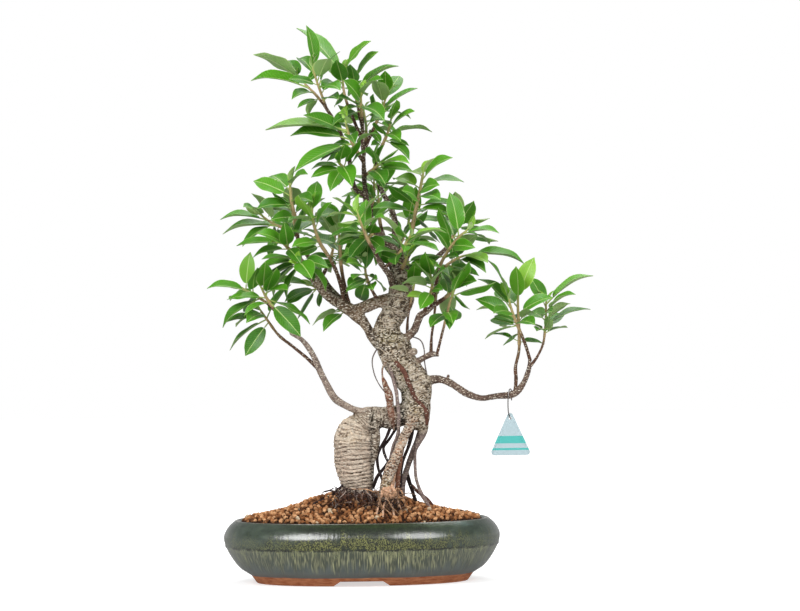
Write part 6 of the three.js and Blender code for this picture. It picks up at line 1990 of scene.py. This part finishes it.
def make_tag():
    """A flat triangle with round corners and soft edges, hung by a hole near its point"""
    centres = corner_centres()
    hole = np.array([0, -TAG["hole_drop"]])
    count = TAG["sides"]
    turns = 2 * np.pi * np.arange(count) / count
    ways = np.column_stack([np.cos(turns), np.sin(turns)])
    top = at_plan(*TAG["top"], TAG["depth"])
    soft, half = TAG["soft"], TAG["thick"] / 2
    corners = (TAG["corner"], TAG["corner"] - soft)
    edge, inner = [tag_outline(centres, hole, ways, corner) for corner in corners]
    bore, bore_edge = [hole + ways * (TAG["hole"] / 2 + more) for more in (0, soft)]
    sections = [(bore_edge, half), (inner, half), (edge, half - soft), (edge, soft - half), (inner, -half),
                (bore_edge, -half), (bore, soft - half), (bore, half - soft)]
    rings = []
    for flat, y in sections:
        rings.append(np.column_stack([top[0] + flat[:, 0], np.full(count, TAG["depth"] + y),
                                      top[2] + flat[:, 1]]))
    faces = [tuple(v % (len(rings) * count) for v in face) for face in loft_faces(len(rings) + 1, count)]
    tag = outward(new_object("blank_tag", to_frame(np.concatenate(rings)), faces))
    smooth_shade(tag.data, math.radians(40))
    tag.data.materials.append(tag_plastic)
    return tag


def make_wire():
    points, radii = Route(WIRE_ROUTE).line(np.linspace(0, 1, 120))
    return strand_object("tag_wire", [strand(points, radii, (0.5, 0.5, 0.5))], 12, hook_wire)


def make_screen(side):
    """A square of crossed plastic bars over a drainage hole"""
    size, thick, bars, bar = SCREEN["size"], SCREEN["thick"], SCREEN["bars"], SCREEN["bar"]
    z = FLOOR_TOP + GAP + thick / 2
    pitch = (size - bar) / (bars - 1)
    boxes = []
    for i in range(bars):
        offset = i * pitch - (size - bar) / 2
        for wide, deep, x, y in ((bar, size, offset, 0), (size, bar, 0, offset)):
            left, right = [x + side * DRAIN_HOLE["offset"] + way * wide / 2 for way in (-1, 1)]
            low, high = z - thick / 2, z + thick / 2
            outline = [(left, low), (right, low), (right, high), (left, high)]
            boxes.append(prism(f"bar_{i}", outline, y, deep))
    screen = joined(f"drain_screen_{'left' if side < 0 else 'right'}", boxes)
    screen.data.materials.append(mesh_plastic)
    return screen


# Materials

mottle = make_mottle_group()
scattered_dots = make_dots_group()
pot_glaze = make_pot_finish()
baked_clay = make_clay_finish("baked_clay", srgb(70, 42, 26), srgb(164, 108, 66), srgb(226, 172, 124))
# The crumbs and the soil bed lie low in the gaps between the grains; this darker clay is painted shade in
# those gaps.
gap_shaded_clay = make_clay_finish("gap_shaded_clay", srgb(44, 26, 16), srgb(92, 56, 34), srgb(160, 110, 72))
bark = make_bark_finish()
young_stem = make_stem_finish()
leaf_upper = make_leaf_finish(
    "leaf_upper_side", srgb(29, 92, 3), srgb(76, 145, 18), srgb(150, 195, 64), srgb(188, 213, 132), 0.33,
    srgb(88, 146, 32), 0.75)
leaf_under = make_leaf_finish(
    "leaf_underside", srgb(110, 144, 78), srgb(144, 174, 104), srgb(178, 202, 130), srgb(202, 216, 154), 0.5,
    srgb(122, 156, 98), 0.7)
leaf_stalk = make_plain_finish("leaf_stalk", srgb(158, 180, 92), 0.4, scuff=0.2).material
mesh_plastic = make_plain_finish("drain_mesh_plastic", srgb(40, 43, 42), 0.5).material
hook_wire = make_plain_finish("hook_wire", srgb(150, 145, 142), 0.32, metallic=1.0).material


def make_tag_finish():
    """Pale plastic with two plain printed bands"""
    finish = make_plain_finish("tag_plastic", srgb(170, 190, 196), 0.42, scuff=0.05)
    height = finish.add("ShaderNodeSeparateXYZ", {"Vector": finish.place()})["Z"]
    low = to_frame(at_plan(*TAG["top"], TAG["depth"]))[2] - TAG["height"] * MM
    bands = [finish.band(height, *(low + step for step in steps)) for steps in TAG_BANDS]
    plain = finish.shader.inputs["Base Color"].links[0].from_socket
    finish.link(finish.mix(finish.math("ADD", *bands), plain, srgb(74, 176, 170)), "Base Color")
    return finish.material


tag_plastic = make_tag_finish()

# Node trees and the things they repeat

strand_tree = make_strand_tree()
leaf_tree = make_leaf_tree()
grain_tree = make_grain_tree()
blades = bpy.data.collections.new("blades")
for way in (1, -1):
    for blade_kind in BLADE_KINDS:
        number = len(blades.objects)
        blades.objects.link(make_blade(f"blade_{number:02d}", dict(blade_kind, lift=way * LEAF_LIFT)))

# Pieces


def placed_piece(made, slot_name, *nodes):
    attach(made, "root")
    if nodes:
        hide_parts(*nodes)


placed_piece(make_pot(), "pot_glaze", "pot")
placed_piece(make_soil_bed(), "soil", "soil")
placed_piece(make_grains("soil_grains", (0.965, 0.03), 0.6, 2, 4.6, 1.6, 2.8, 11, baked_clay), "soil")
# The crumbs take the darker clay, painted shade low between the grains.
placed_piece(make_grains("soil_crumbs", (0.975, 0.03), -0.8, 1, 3.0, 1.0, 1.8, 12, gap_shaded_clay), "soil")
for side_way, side_name in ((-1, "left"), (1, "right")):
    placed_piece(make_screen(side_way), "mesh_plastic", f"drain_mesh_{side_name}")

tree_shoots = grow_tree()
placed_piece(make_heavy_wood(), "bark", "tree_wood")
placed_piece(make_thin_wood(tree_shoots), "bark", "tree_wood")
placed_piece(make_fine_roots(), "bark")

families = {}
for grown in tree_shoots:
    families.setdefault(grown["name"].split("_")[0], []).append(grown)
for family_name, members in families.items():
    nodes = [f"spray_{member['name']}" for member in members]
    placed_piece(make_shoots(family_name, members), "foliage", *nodes)
remove_all(blades)

placed_piece(make_tag(), "tag_plastic", "tag")
placed_piece(make_wire(), "hook_wire", "tag_hook")

# Floor, light and camera


def make_floor():
    half, low = 6, -0.0004
    corners = [(-half, -half, low), (half, -half, low), (half, half, low), (-half, half, low)]
    floor = new_object("studio_floor", corners, [(0, 1, 2, 3)])
    finish = Finish("studio_white", Roughness=0.9, Specular_IOR_Level=0.1, Emission_Color=(1, 1, 1, 1))
    far = finish.add("ShaderNodeVectorMath", {0: finish.place()}, operation="LENGTH")["Value"]
    path = finish.add("ShaderNodeLightPath")
    seen, mirrored = path["Is Camera Ray"], path["Is Glossy Ray"]
    finish.link(finish.mix(mirrored, (0.62, 0.62, 0.62), (0.24, 0.24, 0.24)), "Base Color")
    glow = finish.scaled(finish.band(far, 0.25, 0.9), 0.4, 0.6)
    glow = finish.times(glow, finish.scaled(mirrored, -0.6, 1.0))
    finish.link(finish.times(glow, finish.scaled(seen, 0.75, 0.25)), "Emission Strength")
    floor.data.materials.append(finish.material)


def add_soft_box(name, azimuth, elevation, distance, wide, high, power):
    """A soft light that faces the tree from an azimuth to the right of the front and an elevation"""
    data = bpy.data.lights.new(name, "AREA")
    data.shape = "ELLIPSE"
    data.size, data.size_y = wide, high
    data.energy = power
    light = bpy.data.objects.new(name, data)
    across, up = math.radians(azimuth), math.radians(elevation)
    away = Vector((math.sin(across) * math.cos(up), -math.cos(across) * math.cos(up), math.sin(up)))
    aim = Vector(to_frame([0, 0, 200]))
    light.location = aim + away * distance
    light.rotation_euler = away.to_track_quat("Z", "Y").to_euler()
    bpy.context.scene.collection.objects.link(light)


def make_world():
    """White to the eye and a softer light on the object"""
    world = bpy.data.worlds.new("studio")
    bpy.context.scene.world = world
    world.use_nodes = True
    tree = world.node_tree
    shown = tree.nodes["Background"]
    shown.inputs["Color"].default_value = (1, 1, 1, 1)
    path = add(tree, "ShaderNodeLightPath")
    place = add(tree, "ShaderNodeTexCoord")["Generated"]
    up = add(tree, "ShaderNodeSeparateXYZ", {"Vector": place})["Z"]
    mirrored = add(tree, "ShaderNodeMapRange", {"Value": up, 1: 0.0, 2: 0.5, 3: 0.5, 4: 0.14})[0]
    lit = add(tree, "ShaderNodeMix", {0: path["Is Glossy Ray"], 2: 0.42, 3: mirrored}, data_type="FLOAT")
    strength = add(tree, "ShaderNodeMix", {0: path["Is Camera Ray"], 2: lit[0], 3: 1.0},
                   data_type="FLOAT")
    tree.links.new(strength[0], shown.inputs["Strength"])


make_floor()
make_world()
add_soft_box("soft_box_left", -38, 33, 1.7, 1.0, 1.1, 20)
add_soft_box("soft_box_right", 38, 33, 1.7, 1.0, 1.1, 15)
add_soft_box("soft_box_back", 165, 62, 1.6, 1.4, 1.0, 12)

camera_data = bpy.data.cameras.new("camera")
camera_data.lens = camera_data.sensor_width * PLAN_EYE["away"] / (PLAN_SIZE[0] * PLAN_STEP)
camera_data.clip_end = 50
camera = bpy.data.objects.new("camera", camera_data)
bpy.context.scene.collection.objects.link(camera)
eye = Vector(to_frame([PLAN_EYE["x"], -PLAN_EYE["away"], PLAN_EYE["z"]]))
upright = Matrix.Rotation(math.radians(90), 4, "X")
camera.matrix_world = Matrix.Translation(eye) @ upright @ Matrix.Rotation(-PLAN_TILT, 4, "Z")
bpy.context.scene.camera = camera
bpy.context.scene.view_settings.view_transform = "Standard"
